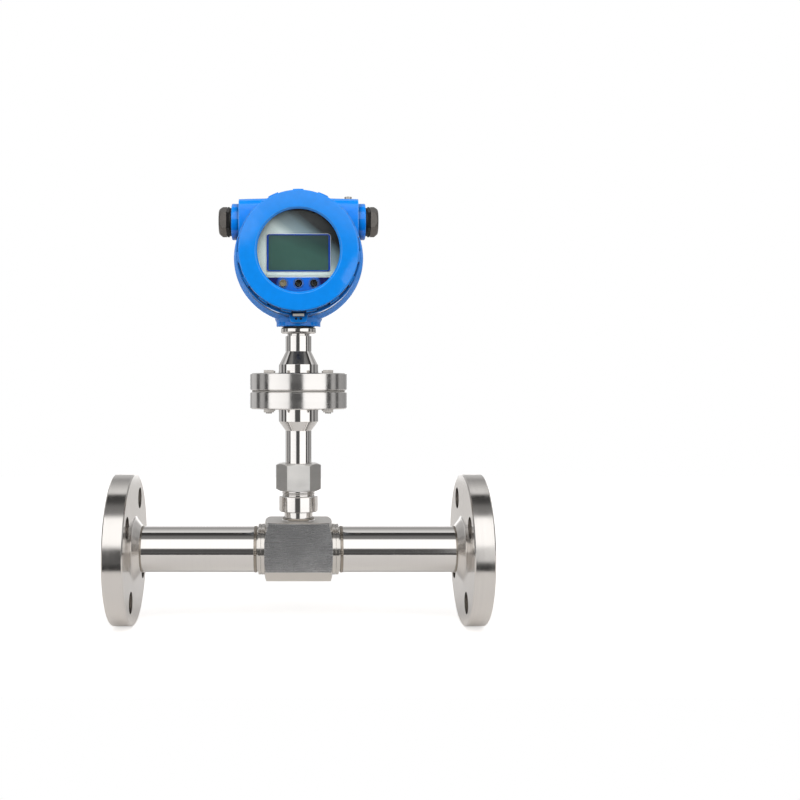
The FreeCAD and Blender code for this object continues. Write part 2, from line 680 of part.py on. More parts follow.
def probe_body():
    spigot_r = NECK_BORE_D / 2 - FIT_PLAY
    return turned_z([
        (0, PROBE_FACE_Z),
        (PROBE_D / 2, PROBE_FACE_Z),
        (PROBE_D / 2, TUBE_END_Z),
        (spigot_r, TUBE_END_Z),
        (spigot_r, TUBE_END_Z + PROBE_SPIGOT_LONG),
        (0, TUBE_END_Z + PROBE_SPIGOT_LONG),
    ])


def sensor_tube(side):
    """Thin closed tube with a round tip, standing across the flow."""
    x = STEM_X + side * SENSOR_SPACING / 2
    radius = SENSOR_TUBE_D / 2
    tip = SENSOR_TIP_Z + radius
    tube = rod(SENSOR_TUBE_D, V(x, 0, tip), Z_DIR, PROBE_FACE_Z - tip)
    return tube.fuse(Part.makeSphere(radius, V(x, 0, tip)))


def probe_guard():
    """Sleeve with a closed end and a window that lets the flow through along X."""
    outer_r = PROBE_D / 2
    sleeve = turned_z([
        (0, GUARD_TIP_Z),
        (outer_r, GUARD_TIP_Z, 1.5),
        (outer_r, PROBE_FACE_Z),
        (outer_r - GUARD_WALL, PROBE_FACE_Z),
        (outer_r - GUARD_WALL, GUARD_TIP_Z + GUARD_END_THICK),
        (0, GUARD_TIP_Z + GUARD_END_THICK),
    ])
    half = GUARD_WINDOW_WIDE / 2
    window = box(
        STEM_X - PROBE_D, STEM_X + PROBE_D, -half, half,
        GUARD_TIP_Z + GUARD_END_THICK, PROBE_FACE_Z - GUARD_END_THICK,
    )
    return sleeve.cut(window)


def sensor_cable():
    start = TUBE_END_Z + PROBE_SPIGOT_LONG
    return rod(CABLE_D, V(STEM_X, 0, start), Z_DIR, PIN_TOP - PLUG_LONG - start)


def sensor_feedthrough():
    """Potted plug in the neck's top with its ring of pins."""
    plug = rod(NECK_BORE_D - 2 * FIT_PLAY, V(STEM_X, 0, PIN_TOP - PLUG_LONG), Z_DIR, PLUG_LONG)
    pins = [plug]
    for u, v in ring_places(PIN_CIRCLE_D, PIN_COUNT, 0.0):
        pins.append(rod(PIN_D, V(STEM_X + u, v, PIN_TOP - 1), Z_DIR, PIN_LONG + 1))
    return fused(pins)


# Housing: a casting with two compartments, conduit bosses and the neck boss

def conduit_boss(side):
    """Rounded block with casting draft, from inside the belly out to the collar."""
    rings = []
    for x, extra in ((0.0, BOSS_DRAFT), (BOSS_REACH, 0.0)):
        u, v = BOSS_WIDE / 2 + extra, BOSS_HIGH / 2 + extra
        corners = [
            (-u, -v, BOSS_CORNER_R),
            (u, -v, BOSS_CORNER_R),
            (u, v, BOSS_CORNER_R),
            (-u, v, BOSS_CORNER_R),
        ]
        rings.append(outline(corners, lambda a, b, at=x: V(STEM_X + side * at, a, CONDUIT_Z + b)))
    return Part.makeLoft(rings, True, True)


def lock_lug(end):
    """Small block under a cover's edge. end is -1 at the front and 1 at the rear."""
    y_min, y_max = sorted((-end * BODY_RIM_Y, -end * (BODY_RIM_Y + LOCK_LUG_LONG)))
    half = LOCK_LUG_WIDE / 2
    bottom = HEAD_Z - LOCK_LUG_REACH
    corners = [
        (-half, bottom, 3.0),
        (half, bottom, 3.0),
        (half + 2, HEAD_Z - BODY_D / 2 + 5),
        (-half - 2, HEAD_Z - BODY_D / 2 + 5),
    ]
    wire = outline(corners, lambda a, b: V(STEM_X + a, y_min, b))
    return Part.Face(wire).extrude(V(0, y_max - y_min, 0))


def lock_place(inward, z):
    """Point in the front lug's middle plane, so far in from the casting's rim."""
    return V(STEM_X, BODY_RIM_Y + inward, z)


def both_ends(shape):
    """The shape at the front and the same one turned half round the stem for the rear."""
    rear = shape.copy()
    rear.rotate(V(STEM_X, 0, 0), Z_DIR, 180)
    return [shape, rear]


def housing():
    belly_r = BODY_BELLY_D / 2
    body_r = BODY_D / 2
    barrel = turned_head([
        (0, BODY_RIM_Y),
        (body_r, BODY_RIM_Y, 0.8),
        (body_r, -BELLY_FRONT - BELLY_SLOPE),
        (belly_r, -BELLY_FRONT, 4.0),
        (belly_r, BELLY_BACK, 4.0),
        (body_r, BELLY_BACK + BELLY_SLOPE),
        (body_r, -BODY_RIM_Y, 0.8),
        (0, -BODY_RIM_Y),
    ])
    neck_boss = turned_z([
        (0, BOSS_BOTTOM),
        (NECK_BOSS_D / 2, BOSS_BOTTOM, 1.0),
        (NECK_BOSS_D / 2, BOSS_BOTTOM + NECK_BOSS_HIGH / 2),
        (NECK_BOSS_FOOT_D / 2, BOSS_BOTTOM + NECK_BOSS_HIGH),
        (NECK_BOSS_FOOT_D / 2, SPOT_FACE_Z),
        (0, SPOT_FACE_Z),
    ])
    solids = [barrel, neck_boss, lock_lug(-1), lock_lug(1)]
    for side in (-1, 1):
        solids.append(conduit_boss(side))
        solids.append(turned_conduit([
            (BOSS_REACH - 1, 0),
            (BOSS_REACH - 1, COLLAR_D / 2),
            (COLLAR_END, COLLAR_D / 2, COLLAR_EDGE_R),
            (COLLAR_END, 0),
        ], side))
    cavity_r = CAVITY_D / 2
    hollows = [
        turned_head([
            (0, BODY_RIM_Y - 1), (cavity_r, BODY_RIM_Y - 1),
            (cavity_r, PARTITION_Y), (0, PARTITION_Y),
        ]),
        turned_head([
            (0, PARTITION_BACK_Y), (cavity_r, PARTITION_BACK_Y, 3.0),
            (cavity_r, -BODY_RIM_Y + 1), (0, -BODY_RIM_Y + 1),
        ]),
        rod(SWIVEL_PIN_D + 2 * FIT_PLAY, V(STEM_X, 0, BOSS_BOTTOM - 1), Z_DIR, NECK_BOSS_HIGH * 3),
        rod(SPOT_FACE_D, V(STEM_X, 0, SPOT_FACE_Z), Z_DIR, SPOT_FACE_D / 2),
        rod(SET_SCREW_D + 2 * FIT_PLAY, V(STEM_X, 0, set_screw_z()), Y_DIR, NECK_BOSS_FOOT_D / 2 + 1),
        rod(
            EARTH_SCREW_D, V(earth_x(), 0, earth_face_z() - EARTH_DEEP), Z_DIR, EARTH_DEEP + BOSS_DRAFT + 1,
        ),
        rod(EARTH_SCREW_D, inner_earth_place() - Y_DIR * 4, Y_DIR, 5),
    ]
    for side in (-1, 1):
        start = V(STEM_X + side * (COLLAR_END + 1), 0, CONDUIT_Z)
        length = COLLAR_END + 1 - CAVITY_D / 4
        hollows.append(rod(GLAND_THREAD_D, start, V(-side, 0, 0), length))
    hollows += both_ends(lock_hollow())
    pad = rod(EARTH_WASHER_D + 2, V(earth_x(), 0, earth_face_z() - 2), Z_DIR, 2)
    return cut_all(fused(solids + [pad]), hollows)


def lock_hollow():
    """Slot for the front clamp, the screw's hole below it and two blind holes for a seal wire."""
    half = LOCK_CLAMP_WIDE / 2 + FIT_PLAY
    slot = box(
        STEM_X - half, STEM_X + half, BODY_RIM_Y - 1, BODY_RIM_Y + LOCK_CLAMP_IN + FIT_PLAY,
        CLAMP_SEAT_Z, CLAMP_TOP_Z + FIT_PLAY,
    )
    drop = lock_place(LOCK_CLAMP_IN / 2, HEAD_Z - LOCK_LUG_REACH - 1)
    shapes = [slot, rod(LOCK_SCREW_D, drop, Z_DIR, CLAMP_SEAT_Z - drop.z + 1)]
    for side in (-1, 1):
        start = lock_place(-1, CLAMP_SEAT_Z - SEAL_HOLE_D) + X_DIR * (side * SEAL_HOLE_SPACING / 2)
        shapes.append(rod(SEAL_HOLE_D, start, Y_DIR, SEAL_HOLE_DEEP + 1))
    return fused(shapes)


def set_screw_z():
    return BOSS_BOTTOM + NECK_BOSS_HIGH / 2 - 0.5


def earth_x():
    return STEM_X + BOSS_REACH - EARTH_SET_IN


def earth_face_z():
    """Seat of the outer earth screw, just proud of the drafted boss's top."""
    return CONDUIT_Z + BOSS_HIGH / 2 + BOSS_DRAFT * EARTH_SET_IN / BOSS_REACH + 0.5


def inner_earth_place():
    return V(STEM_X - CAVITY_D / 4, PARTITION_BACK_Y, HEAD_Z - CAVITY_D / 4)


# Covers: turned caps with a ring of wrench lugs and a threaded skirt

def cover_lugs(end):
    """Wrench lugs round a cover. end is -1 at the front and 1 at the rear."""
    near = HEAD_HALF_DEEP - COVER_RIM_DEEP
    far = HEAD_HALF_DEEP - LUG_FRONT_SETBACK
    lugs = []
    outer = COVER_RIM_D / 2 + LUG_PROUD
    inner = COVER_FACE_D / 2 - 4
    section = [
        (inner, end * near), (outer, end * near), (outer, end * (far - LUG_PROUD)),
        (outer - 2 * LUG_PROUD, end * far), (inner, end * far),
    ]
    for i in range(LUG_COUNT):
        start_deg = LUG_FIRST_DEG - LUG_WIDE_DEG / 2 + 360.0 * i / LUG_COUNT
        face = Part.Face(outline(section, lambda r, y: V(STEM_X + r, y, HEAD_Z)))
        face.rotate(V(STEM_X, 0, HEAD_Z), Y_DIR, -start_deg)
        lugs.append(face.revolve(V(STEM_X, 0, HEAD_Z), Y_DIR, -LUG_WIDE_DEG))
    return lugs


def cover_skirt_points(end):
    """Outer side of a cover from its rim to the end of the skirt, with the O-ring's groove."""
    rim = HEAD_HALF_DEEP - COVER_RIM_DEEP
    groove = rim - ORING_SETBACK
    half = ORING_SECTION_D / 2 + 0.2
    groove_r = SKIRT_R - ORING_SECTION_D
    return [
        (COVER_RIM_D / 2, end * rim),
        (SKIRT_R, end * rim),
        (SKIRT_R, end * (groove + half)),
        (groove_r, end * (groove + half)),
        (groove_r, end * (groove - half)),
        (SKIRT_R, end * (groove - half)),
        (SKIRT_R, end * (rim - COVER_SKIRT_LONG + 1)),
        (SKIRT_R - 1, end * (rim - COVER_SKIRT_LONG)),
        (SKIRT_INNER_R, end * (rim - COVER_SKIRT_LONG)),
    ]


def front_cover():
    pocket_r = GLASS_D / 2 + GLASS_PLAY
    ring_end = GLASS_BACK_Y + RING_THICK
    points = [
        (WINDOW_D / 2, FRONT_FACE_Y + WINDOW_BEVEL),
        (WINDOW_D / 2 + WINDOW_BEVEL, FRONT_FACE_Y),
        (COVER_FACE_D / 2, FRONT_FACE_Y, COVER_EDGE_R),
    ]
    points += cover_skirt_points(-1)
    points += [
        (SKIRT_INNER_R, ring_end),
        (pocket_r, ring_end),
        (pocket_r, FRONT_FACE_Y + WINDOW_LIP_THICK),
        (WINDOW_D / 2, FRONT_FACE_Y + WINDOW_LIP_THICK),
    ]
    return fused([turned_head(points)] + cover_lugs(-1)).cut(cover_hollow(-1, pocket_r, ring_end))


def cover_hollow(end, radius, depth_y):
    """Room inside a cover, taken out again where the lugs' inner ends reach into it."""
    rim = end * (HEAD_HALF_DEEP - COVER_RIM_DEEP - COVER_SKIRT_LONG)
    return turned_head([(0, rim), (SKIRT_INNER_R, rim), (SKIRT_INNER_R, depth_y), (0, depth_y)])


def rear_cover():
    face = HEAD_HALF_DEEP
    inner = face - COVER_WALL
    points = [
        (0, face - REAR_DISH_DEEP),
        (REAR_DISH_D / 2, face - REAR_DISH_DEEP),
        (REAR_DISH_D / 2 + REAR_DISH_DEEP, face),
        (COVER_FACE_D / 2, face, COVER_EDGE_R),
    ]
    points += cover_skirt_points(1)
    points += [(SKIRT_INNER_R, inner, 2.0), (0, inner)]
    return fused([turned_head(points)] + cover_lugs(1)).cut(cover_hollow(1, SKIRT_INNER_R, inner - 3))


def cover_oring(end):
    """O-ring drawn with an eight-sided section."""
    centre = end * (HEAD_HALF_DEEP - COVER_RIM_DEEP - ORING_SETBACK)
    middle_r = SKIRT_R - ORING_SECTION_D / 2
    section = []
    for u, v in ring_places(ORING_SECTION_D / math.cos(math.radians(22.5)), 8, 22.5):
        section.append((middle_r + u, centre + v))
    return turned_head(section)


def window_seal():
    return turned_head([
        (WINDOW_D / 2 + 1, FRONT_FACE_Y + WINDOW_LIP_THICK),
        (GLASS_D / 2, FRONT_FACE_Y + WINDOW_LIP_THICK),
        (GLASS_D / 2, GLASS_FRONT_Y),
        (WINDOW_D / 2 + 1, GLASS_FRONT_Y),
    ])


def window_glass():
    return rod(GLASS_D, V(STEM_X, GLASS_FRONT_Y, HEAD_Z), Y_DIR, GLASS_THICK)


def glass_retaining_ring():
    """Threaded ring behind the glass with two spanner notches."""
    ring = turned_head([
        (RING_D_IN / 2, GLASS_BACK_Y),
        (GLASS_D / 2 + GLASS_PLAY / 2, GLASS_BACK_Y),
        (GLASS_D / 2 + GLASS_PLAY / 2, GLASS_BACK_Y + RING_THICK),
        (RING_D_IN / 2, GLASS_BACK_Y + RING_THICK),
    ])
    notch = box(
        STEM_X - GLASS_D, STEM_X + GLASS_D, GLASS_BACK_Y + RING_THICK / 2, GLASS_BACK_Y + RING_THICK + 1,
        HEAD_Z - 2, HEAD_Z + 2,
    )
    return ring.cut(notch)


# Display stack

def button_x(index):
    return STEM_X + (index - 1) * BUTTON_PITCH


def button_hole(index, diameter, y, length):
    return rod(diameter, V(button_x(index), y, HEAD_Z - BUTTON_DROP), Y_DIR, length)


def display_faceplate():
    """Round plate with the screen's window, the button holes and a raised bead between them."""
    plate = rod(FACEPLATE_D, V(STEM_X, PLATE_Y, HEAD_Z), Y_DIR, FACEPLATE_THICK)
    bead = rounded_plate(
        BEAD_WIDE, BEAD_HIGH, BEAD_END_R, PLATE_Y - BEAD_PROUD, BEAD_PROUD + 1, HEAD_Z - BEAD_DROP,
    )
    window = rounded_plate(
        LCD_WIDE + 4 * LCD_PLAY, LCD_HIGH + 4 * LCD_PLAY, LCD_CORNER_R,
        PLATE_Y - 1, FACEPLATE_THICK + 2, LCD_Z,
    )
    tools = [window]
    for index in range(len(BUTTON_NAMES)):
        tools.append(button_hole(index, BUTTON_D + 2 * THREAD_PLAY, PLATE_Y - 1, FACEPLATE_THICK + 2))
    return cut_all(plate.fuse(bead), tools)


def lcd_frame():
    wide = LCD_WIDE + 2 * LCD_FRAME_EDGE
    high = LCD_HIGH + 2 * LCD_FRAME_EDGE - 1.4
    front = PLATE_Y - LCD_FRAME_PROUD
    frame = rounded_plate(wide, high, LCD_CORNER_R + 1, front, LCD_FRAME_PROUD, LCD_Z)
    window = rounded_plate(
        LCD_WIDE + 2 * LCD_PLAY, LCD_HIGH + 2 * LCD_PLAY, LCD_CORNER_R,
        front - 1, LCD_FRAME_PROUD + 2, LCD_Z,
    )
    return frame.cut(window)


def lcd_panel():
    front = PLATE_Y - LCD_FRAME_PROUD + LCD_BELOW_FRAME
    return rounded_plate(LCD_WIDE, LCD_HIGH, LCD_CORNER_R, front, BOARD_Y - front, LCD_Z)


def key_label():
    """Printed film over the lower part of the faceplate, with a hole round each button."""
    film_y = PLATE_Y - LABEL_THICK
    film = rod(FACEPLATE_D - 2 * LABEL_MARGIN, V(STEM_X, film_y, HEAD_Z), Y_DIR, LABEL_THICK)
    keep_out = box(
        STEM_X - FACEPLATE_D, STEM_X + FACEPLATE_D, film_y - 1, PLATE_Y + 1,
        HEAD_Z - LABEL_DROP, HEAD_Z + FACEPLATE_D,
    )
    tools = [keep_out]
    for index in range(len(BUTTON_NAMES)):
        tools.append(button_hole(index, BUTTON_D + 4 * THREAD_PLAY, PLATE_Y - 2, 4))
    return cut_all(film, tools)


def button(index):
    """Cap with a flange behind the faceplate that keeps it in."""
    front = PLATE_Y - BUTTON_PROUD
    flange_y = PLATE_BACK_Y + RUN_GAP
    cap = button_hole(index, BUTTON_D, front, flange_y - front)
    foot = button_hole(index, BUTTON_FLANGE_D, flange_y, BUTTON_FLANGE_THICK)
    dimple = Part.makeSphere(BUTTON_D, V(button_x(index), front - BUTTON_D + 0.35, HEAD_Z - BUTTON_DROP))
    return cap.fuse(foot).cut(dimple)


def key_switches():
    """One small switch behind each button, clear of it over the button's travel."""
    pressed = PLATE_BACK_Y + RUN_GAP + BUTTON_FLANGE_THICK + BUTTON_TRAVEL + THREAD_PLAY
    body_front = pressed + 0.4
    half = SWITCH_WIDE / 2
    switches = []
    for index in range(len(BUTTON_NAMES)):
        x, z = button_x(index), HEAD_Z - BUTTON_DROP
        body = box(x - half, x + half, body_front, BOARD_Y, z - half, z + half)
        switches.append(body.fuse(button_hole(index, SWITCH_PLUNGER_D, pressed, BOARD_Y - pressed)))
    return Part.makeCompound(switches)


def display_board():
    """Round board with two flats at its sides, as cut from a panel."""
    board = rod(BOARD_D, V(STEM_X, BOARD_Y, HEAD_Z), Y_DIR, BOARD_THICK)
    half = BOARD_D / 2 - 1.5
    return board.common(box(
        STEM_X - half, STEM_X + half, BOARD_Y, BOARD_BACK_Y, HEAD_Z - BOARD_D, HEAD_Z + BOARD_D,
    ))


def posts(y, length):
    shapes = []
    for u, v in ring_places(POST_CIRCLE_D, POST_COUNT, POST_TURN_DEG):
        shapes.append(rod(POST_D, V(STEM_X + u, y, HEAD_Z + v), Y_DIR, length))
    return Part.makeCompound(shapes)


def electronics_module():
    """Potted can that fills the front compartment down to the partition."""
    return turned_head([
        (0, MODULE_Y),
        (MODULE_D / 2, MODULE_Y, MODULE_EDGE_R),
        (MODULE_D / 2, PARTITION_Y),
        (0, PARTITION_Y),
    ])


# Wiring side and small fasteners

def terminal_x(index):
    return STEM_X + (index - (TERMINAL_COUNT - 1) / 2) * TERMINAL_PITCH


def terminal_block():
    """Moulded strip with a wire hole below and a recessed screw well for each terminal."""
    half = TERMINAL_COUNT * TERMINAL_PITCH / 2 + 1.5
    z = HEAD_Z - TERMINAL_DROP
    strip = box(
        STEM_X - half, STEM_X + half, PARTITION_BACK_Y, PARTITION_BACK_Y + TERMINAL_DEEP,
        z - TERMINAL_HIGH / 2, z + TERMINAL_HIGH / 2,
    )
    tools = []
    back = PARTITION_BACK_Y + TERMINAL_DEEP
    for index in range(TERMINAL_COUNT):
        x = terminal_x(index)
        tools.append(rod(TERMINAL_SCREW_D + 1.2, V(x, back - 3, z + 2), Y_DIR, 4))
        tools.append(rod(WIRE_HOLE_D, V(x, back - 5, z - TERMINAL_HIGH / 2 - 1), Z_DIR, 8))
    return cut_all(strip, tools)


def terminal_screws():
    screws = []
    z = HEAD_Z - TERMINAL_DROP + 2
    floor = PARTITION_BACK_Y + TERMINAL_DEEP - 3
    for index in range(TERMINAL_COUNT):
        x = terminal_x(index)
        head = rod(TERMINAL_SCREW_D, V(x, floor, z), Y_DIR, 2 + TERMINAL_SCREW_PROUD)
        top = floor + 2 + TERMINAL_SCREW_PROUD
        slot = box(x - TERMINAL_SCREW_D, x + TERMINAL_SCREW_D, top - 0.8, top + 1, z - 0.4, z + 0.4)
        screws.append(head.cut(slot))
    return Part.makeCompound(screws)


def cover_lock_screws():
    """Grub screws below the lugs that lift the clamps against the covers."""
    foot = lock_place(LOCK_CLAMP_IN / 2, HEAD_Z - LOCK_LUG_REACH + 1)
    screw = rod(LOCK_SCREW_D - 2 * FIT_PLAY, foot, Z_DIR, CLAMP_SEAT_Z - foot.z)
    screw = screw.cut(rod(SCREW_SOCKET_SMALL_D, foot - Z_DIR, Z_DIR, 3))
    return Part.makeCompound(both_ends(screw))


def cover_lock_clamps():
    """Flat bars held in the casting that reach under the covers' rims."""
    half = LOCK_CLAMP_WIDE / 2
    clamp = box(
        STEM_X - half, STEM_X + half, BODY_RIM_Y - LOCK_CLAMP_OUT, BODY_RIM_Y + LOCK_CLAMP_IN,
        CLAMP_SEAT_Z, CLAMP_TOP_Z,
    )
    return Part.makeCompound(both_ends(clamp))


def neck_set_screw():
    """Grub screw that holds the swivel, in the rear of the neck boss."""
    start = V(STEM_X, SWIVEL_PIN_D / 2 + RUN_GAP, set_screw_z())
    length = NECK_BOSS_D / 2 - SWIVEL_PIN_D / 2 - 1
    body = rod(SET_SCREW_D, start, Y_DIR, length)
    return body.cut(rod(SCREW_SOCKET_D, start + Y_DIR * (length - 2.5), Y_DIR, 4))


def earth_screw(seat, direction, depth):
    """Pan-head screw with a slot, a washer below it and its shank in the casting."""
    washer = rod(EARTH_WASHER_D, seat, direction, EARTH_WASHER_THICK)
    head_seat = seat + direction * EARTH_WASHER_THICK
    head = rod(EARTH_HEAD_D, head_seat, direction, EARTH_HEAD_HIGH)
    shank = rod(EARTH_SCREW_D - 2 * FIT_PLAY, seat - direction * depth, direction, depth)
    screw = fused([washer, head, shank])
    slot_at = head_seat + direction * (EARTH_HEAD_HIGH - 1)
    slot = Part.makeBox(EARTH_HEAD_D * 2, 1, 4, V(-EARTH_HEAD_D, -0.5, 0))
    slot.Placement = FreeCAD.Placement(slot_at, FreeCAD.Rotation(Z_DIR, direction))
    return screw.cut(slot)


# Cable glands

def gland_washer(side):
    return turned_conduit([
        (COLLAR_END, GLAND_THREAD_D / 2),
        (COLLAR_END, WASHER_D / 2),
        (WASHER_END, WASHER_D / 2),
        (WASHER_END, GLAND_THREAD_D / 2),
    ], side)


def gland_hexagon(across_flats, start, length, side, chamfer):
    """Hexagon about a conduit's axis, its outer end turned to a chamfer."""
    at = STEM_X + side * start
    prism = Part.Face(hexagon(across_flats, lambda u, v: V(at, u, CONDUIT_Z + v), 30.0))
    prism = prism.extrude(V(side * length, 0, 0))
    corner_r = across_flats / math.sqrt(3)
    envelope = turned_conduit([
        (start, 0), (start, corner_r), (start + length - chamfer, corner_r),
        (start + length, corner_r - 2 * chamfer), (start + length, 0),
    ], side)
    return prism.common(envelope)


def gland_body(side):
    """Threaded sleeve with a hexagon collar and a smaller outer thread for its nut."""
    sleeve = turned_conduit([
        (COLLAR_END - GLAND_INSERT_LONG, 0),
        (COLLAR_END - GLAND_INSERT_LONG, GLAND_THREAD_D / 2 - FIT_PLAY),
        (WASHER_END, GLAND_THREAD_D / 2 - FIT_PLAY),
        (WASHER_END, GLAND_INNER_THREAD_D / 2),
        (GLAND_HEX_END + GLAND_INNER_THREAD_LONG, GLAND_INNER_THREAD_D / 2),
        (GLAND_HEX_END + GLAND_INNER_THREAD_LONG, 0),
    ], side)
    collar = gland_hexagon(GLAND_HEX_AF, WASHER_END, GLAND_HEX_LONG, side, 0.4)
    start = V(STEM_X + side * (COLLAR_END - GLAND_INSERT_LONG - 1), 0, CONDUIT_Z)
    length = GLAND_INSERT_LONG + WASHER_THICK + GLAND_HEX_LONG + GLAND_INNER_THREAD_LONG + 3
    return fused([sleeve, collar]).cut(rod(GLAND_BORE_D, start, V(side, 0, 0), length))


def gland_nut(side):
    """Domed hexagon nut over the gland's outer thread."""
    start = GLAND_HEX_END + RUN_GAP
    end = start + GLAND_NUT_LONG
    hexed = gland_hexagon(GLAND_HEX_AF, start, GLAND_NUT_LONG, side, GLAND_NUT_DOME / 2)
    corner_r = GLAND_HEX_AF / math.sqrt(3)
    dome = turned_conduit([
        (start, 0), (start, corner_r), (end - GLAND_NUT_DOME - 1, corner_r),
        (end, corner_r * 0.8, 3.0), (end, 0),
    ], side)
    thread_r = GLAND_INNER_THREAD_D / 2 + THREAD_PLAY
    hollow = turned_conduit([
        (start - 1, 0), (start - 1, thread_r), (end - GLAND_NUT_WALL, thread_r),
        (end - GLAND_NUT_WALL, GLAND_NUT_HOLE_D / 2), (end + 1, GLAND_NUT_HOLE_D / 2), (end + 1, 0),
    ], side)
    return hexed.common(dome).cut(hollow)


def gland_seal(side):
    """Rubber insert inside the gland body, bored for a cable."""
    end = GLAND_HEX_END + GLAND_INNER_THREAD_LONG
    return turned_conduit([
        (WASHER_END, SEAL_BORE_D / 2),
        (WASHER_END, GLAND_BORE_D / 2),
        (end, GLAND_BORE_D / 2),
        (end, SEAL_BORE_D / 2),
    ], side)


def all_parts():
    parts = {
        "inlet_flange": flange(-1),
        "outlet_flange": flange(1),
        "inlet_pipe": pipe(-1),
        "outlet_pipe": pipe(1),
        "body_block": body_block(),
        "stem_socket": stem_socket(),
        "ferrule": ferrule(),
        "union_nut": union_nut(),
        "lower_neck": lower_neck(),
        "lower_sensor_flange": sensor_flange(
            LOWER_FLANGE_BOTTOM, SENSOR_FLANGE_THICK, SENSOR_FLANGE_D, SENSOR_FLANGE_BREAK),
        "flange_gasket": sensor_flange(GASKET_BOTTOM, GASKET_THICK, GASKET_D, 0.0),
        "upper_sensor_flange": sensor_flange(
            UPPER_FLANGE_BOTTOM, SENSOR_FLANGE_THICK, SENSOR_FLANGE_D, SENSOR_FLANGE_BREAK),
        "upper_neck": upper_neck(),
        "swivel_lock_ring": swivel_lock_ring(),
        "neck_retaining_ring": neck_retaining_ring(),
        "flange_bolts": flange_bolts(),
        "flange_nuts": flange_nuts(),
        "probe_body": probe_body(),
        "heated_sensor": sensor_tube(1),
        "reference_sensor": sensor_tube(-1),
        "probe_guard": probe_guard(),
        "sensor_cable": sensor_cable(),
        "sensor_feedthrough": sensor_feedthrough(),
        "housing": housing(),
        "front_cover": front_cover(),
        "rear_cover": rear_cover(),
        "front_cover_oring": cover_oring(-1),
        "rear_cover_oring": cover_oring(1),
        "window_seal": window_seal(),
        "window_glass": window_glass(),
        "glass_retaining_ring": glass_retaining_ring(),
        "display_faceplate": display_faceplate(),
        "lcd_frame": lcd_frame(),
        "lcd_panel": lcd_panel(),
        "key_label": key_label(),
        "key_switches": key_switches(),
        "display_board": display_board(),
        "display_spacers": posts(PLATE_BACK_Y, BOARD_BEHIND_PLATE),
        "module_standoffs": posts(BOARD_BACK_Y, MODULE_BEHIND_BOARD),
        "electronics_module": electronics_module(),
        "terminal_block": terminal_block(),
        "terminal_screws": terminal_screws(),
        "cover_lock_screws": cover_lock_screws(),
        "cover_lock_clamps": cover_lock_clamps(),
        "neck_set_screw": neck_set_screw(),
        "earth_screw": earth_screw(V(earth_x(), 0, earth_face_z()), Z_DIR, EARTH_DEEP - 1),
        "inner_earth_screw": earth_screw(inner_earth_place(), Y_DIR, 3),
    }
    for index, name in enumerate(BUTTON_NAMES):
        parts["button_" + name] = button(index)
    for side, name in ((-1, "left"), (1, "right")):
        parts["gland_washer_" + name] = gland_washer(side)
        parts["gland_body_" + name] = gland_body(side)
        parts["gland_nut_" + name] = gland_nut(side)
        parts["gland_seal_" + name] = gland_seal(side)
    return parts


os.makedirs("parts", exist_ok=True)
for node, shape in all_parts().items():
    shape.exportStep("parts/" + node + ".step")
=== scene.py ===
import math

import bpy
import numpy as np
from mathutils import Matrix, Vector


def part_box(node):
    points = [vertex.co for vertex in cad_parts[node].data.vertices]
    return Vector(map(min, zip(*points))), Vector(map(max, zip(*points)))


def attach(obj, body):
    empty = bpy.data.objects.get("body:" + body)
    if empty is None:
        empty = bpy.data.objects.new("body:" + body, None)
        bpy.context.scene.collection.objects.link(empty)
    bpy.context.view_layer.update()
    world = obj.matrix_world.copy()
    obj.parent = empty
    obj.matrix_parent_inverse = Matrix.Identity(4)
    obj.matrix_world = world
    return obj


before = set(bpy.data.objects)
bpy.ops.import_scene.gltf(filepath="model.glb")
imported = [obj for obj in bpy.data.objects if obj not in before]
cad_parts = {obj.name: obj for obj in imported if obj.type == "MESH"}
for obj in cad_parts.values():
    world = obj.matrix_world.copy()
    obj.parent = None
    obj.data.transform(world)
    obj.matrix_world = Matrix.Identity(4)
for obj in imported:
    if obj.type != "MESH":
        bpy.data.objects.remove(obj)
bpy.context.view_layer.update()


# Camera. The photograph looks level along +Y from about a metre away; the pipe's axis lies well below
# the camera, and the stem left of the picture's middle. The focal length was solved from the near and
# far rims of the round flanges.

def middle(node):
    """Centre of a CAD node's box: half the sum of its lowest and highest corners."""
    low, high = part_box(node)
    return (np.array(low) + np.array(high)) / 2


STEM_X = middle("union_nut")[0]      # the pipe lies along the X axis, and the stem stands on it here
PHOTO_WIDE = 800
PHOTO_FOCAL_PX = 981.6
PHOTO_STEM_PX = 298.5
PHOTO_HORIZON_PX = 385.0
SENSOR_WIDE_MM = 36.0
CAMERA_AWAY = 1.014
CAMERA_ABOVE_PIPE = 0.1694

camera_data = bpy.data.cameras.new("camera")
camera_data.sensor_width = SENSOR_WIDE_MM
camera_data.lens = SENSOR_WIDE_MM * PHOTO_FOCAL_PX / PHOTO_WIDE
camera_data.shift_x = (PHOTO_WIDE / 2 - PHOTO_STEM_PX) / PHOTO_WIDE
camera_data.shift_y = (PHOTO_HORIZON_PX - PHOTO_WIDE / 2) / PHOTO_WIDE
camera = bpy.data.objects.new("camera", camera_data)
camera.location = (STEM_X, -CAMERA_AWAY, CAMERA_ABOVE_PIPE)
camera.rotation_euler = (math.radians(90), 0, 0)
bpy.context.scene.collection.objects.link(camera)
bpy.context.scene.camera = camera
bpy.context.scene.view_settings.view_transform = "Standard"


# Studio. A wide white tent stands in front, with a dark opening round the lens, a dark gap overhead and
# grey flats at both sides. The steel mirrors these as its bands; the camera itself sees plain white.

def colour(code):
    """sRGB hex such as "#1E88F0" as a linear RGBA tuple."""
    values = [int(code[i:i + 2], 16) / 255 for i in (1, 3, 5)]
    linear = [v / 12.92 if v <= 0.04045 else ((v + 0.055) / 1.055) ** 2.4 for v in values]
    return (*linear, 1.0)


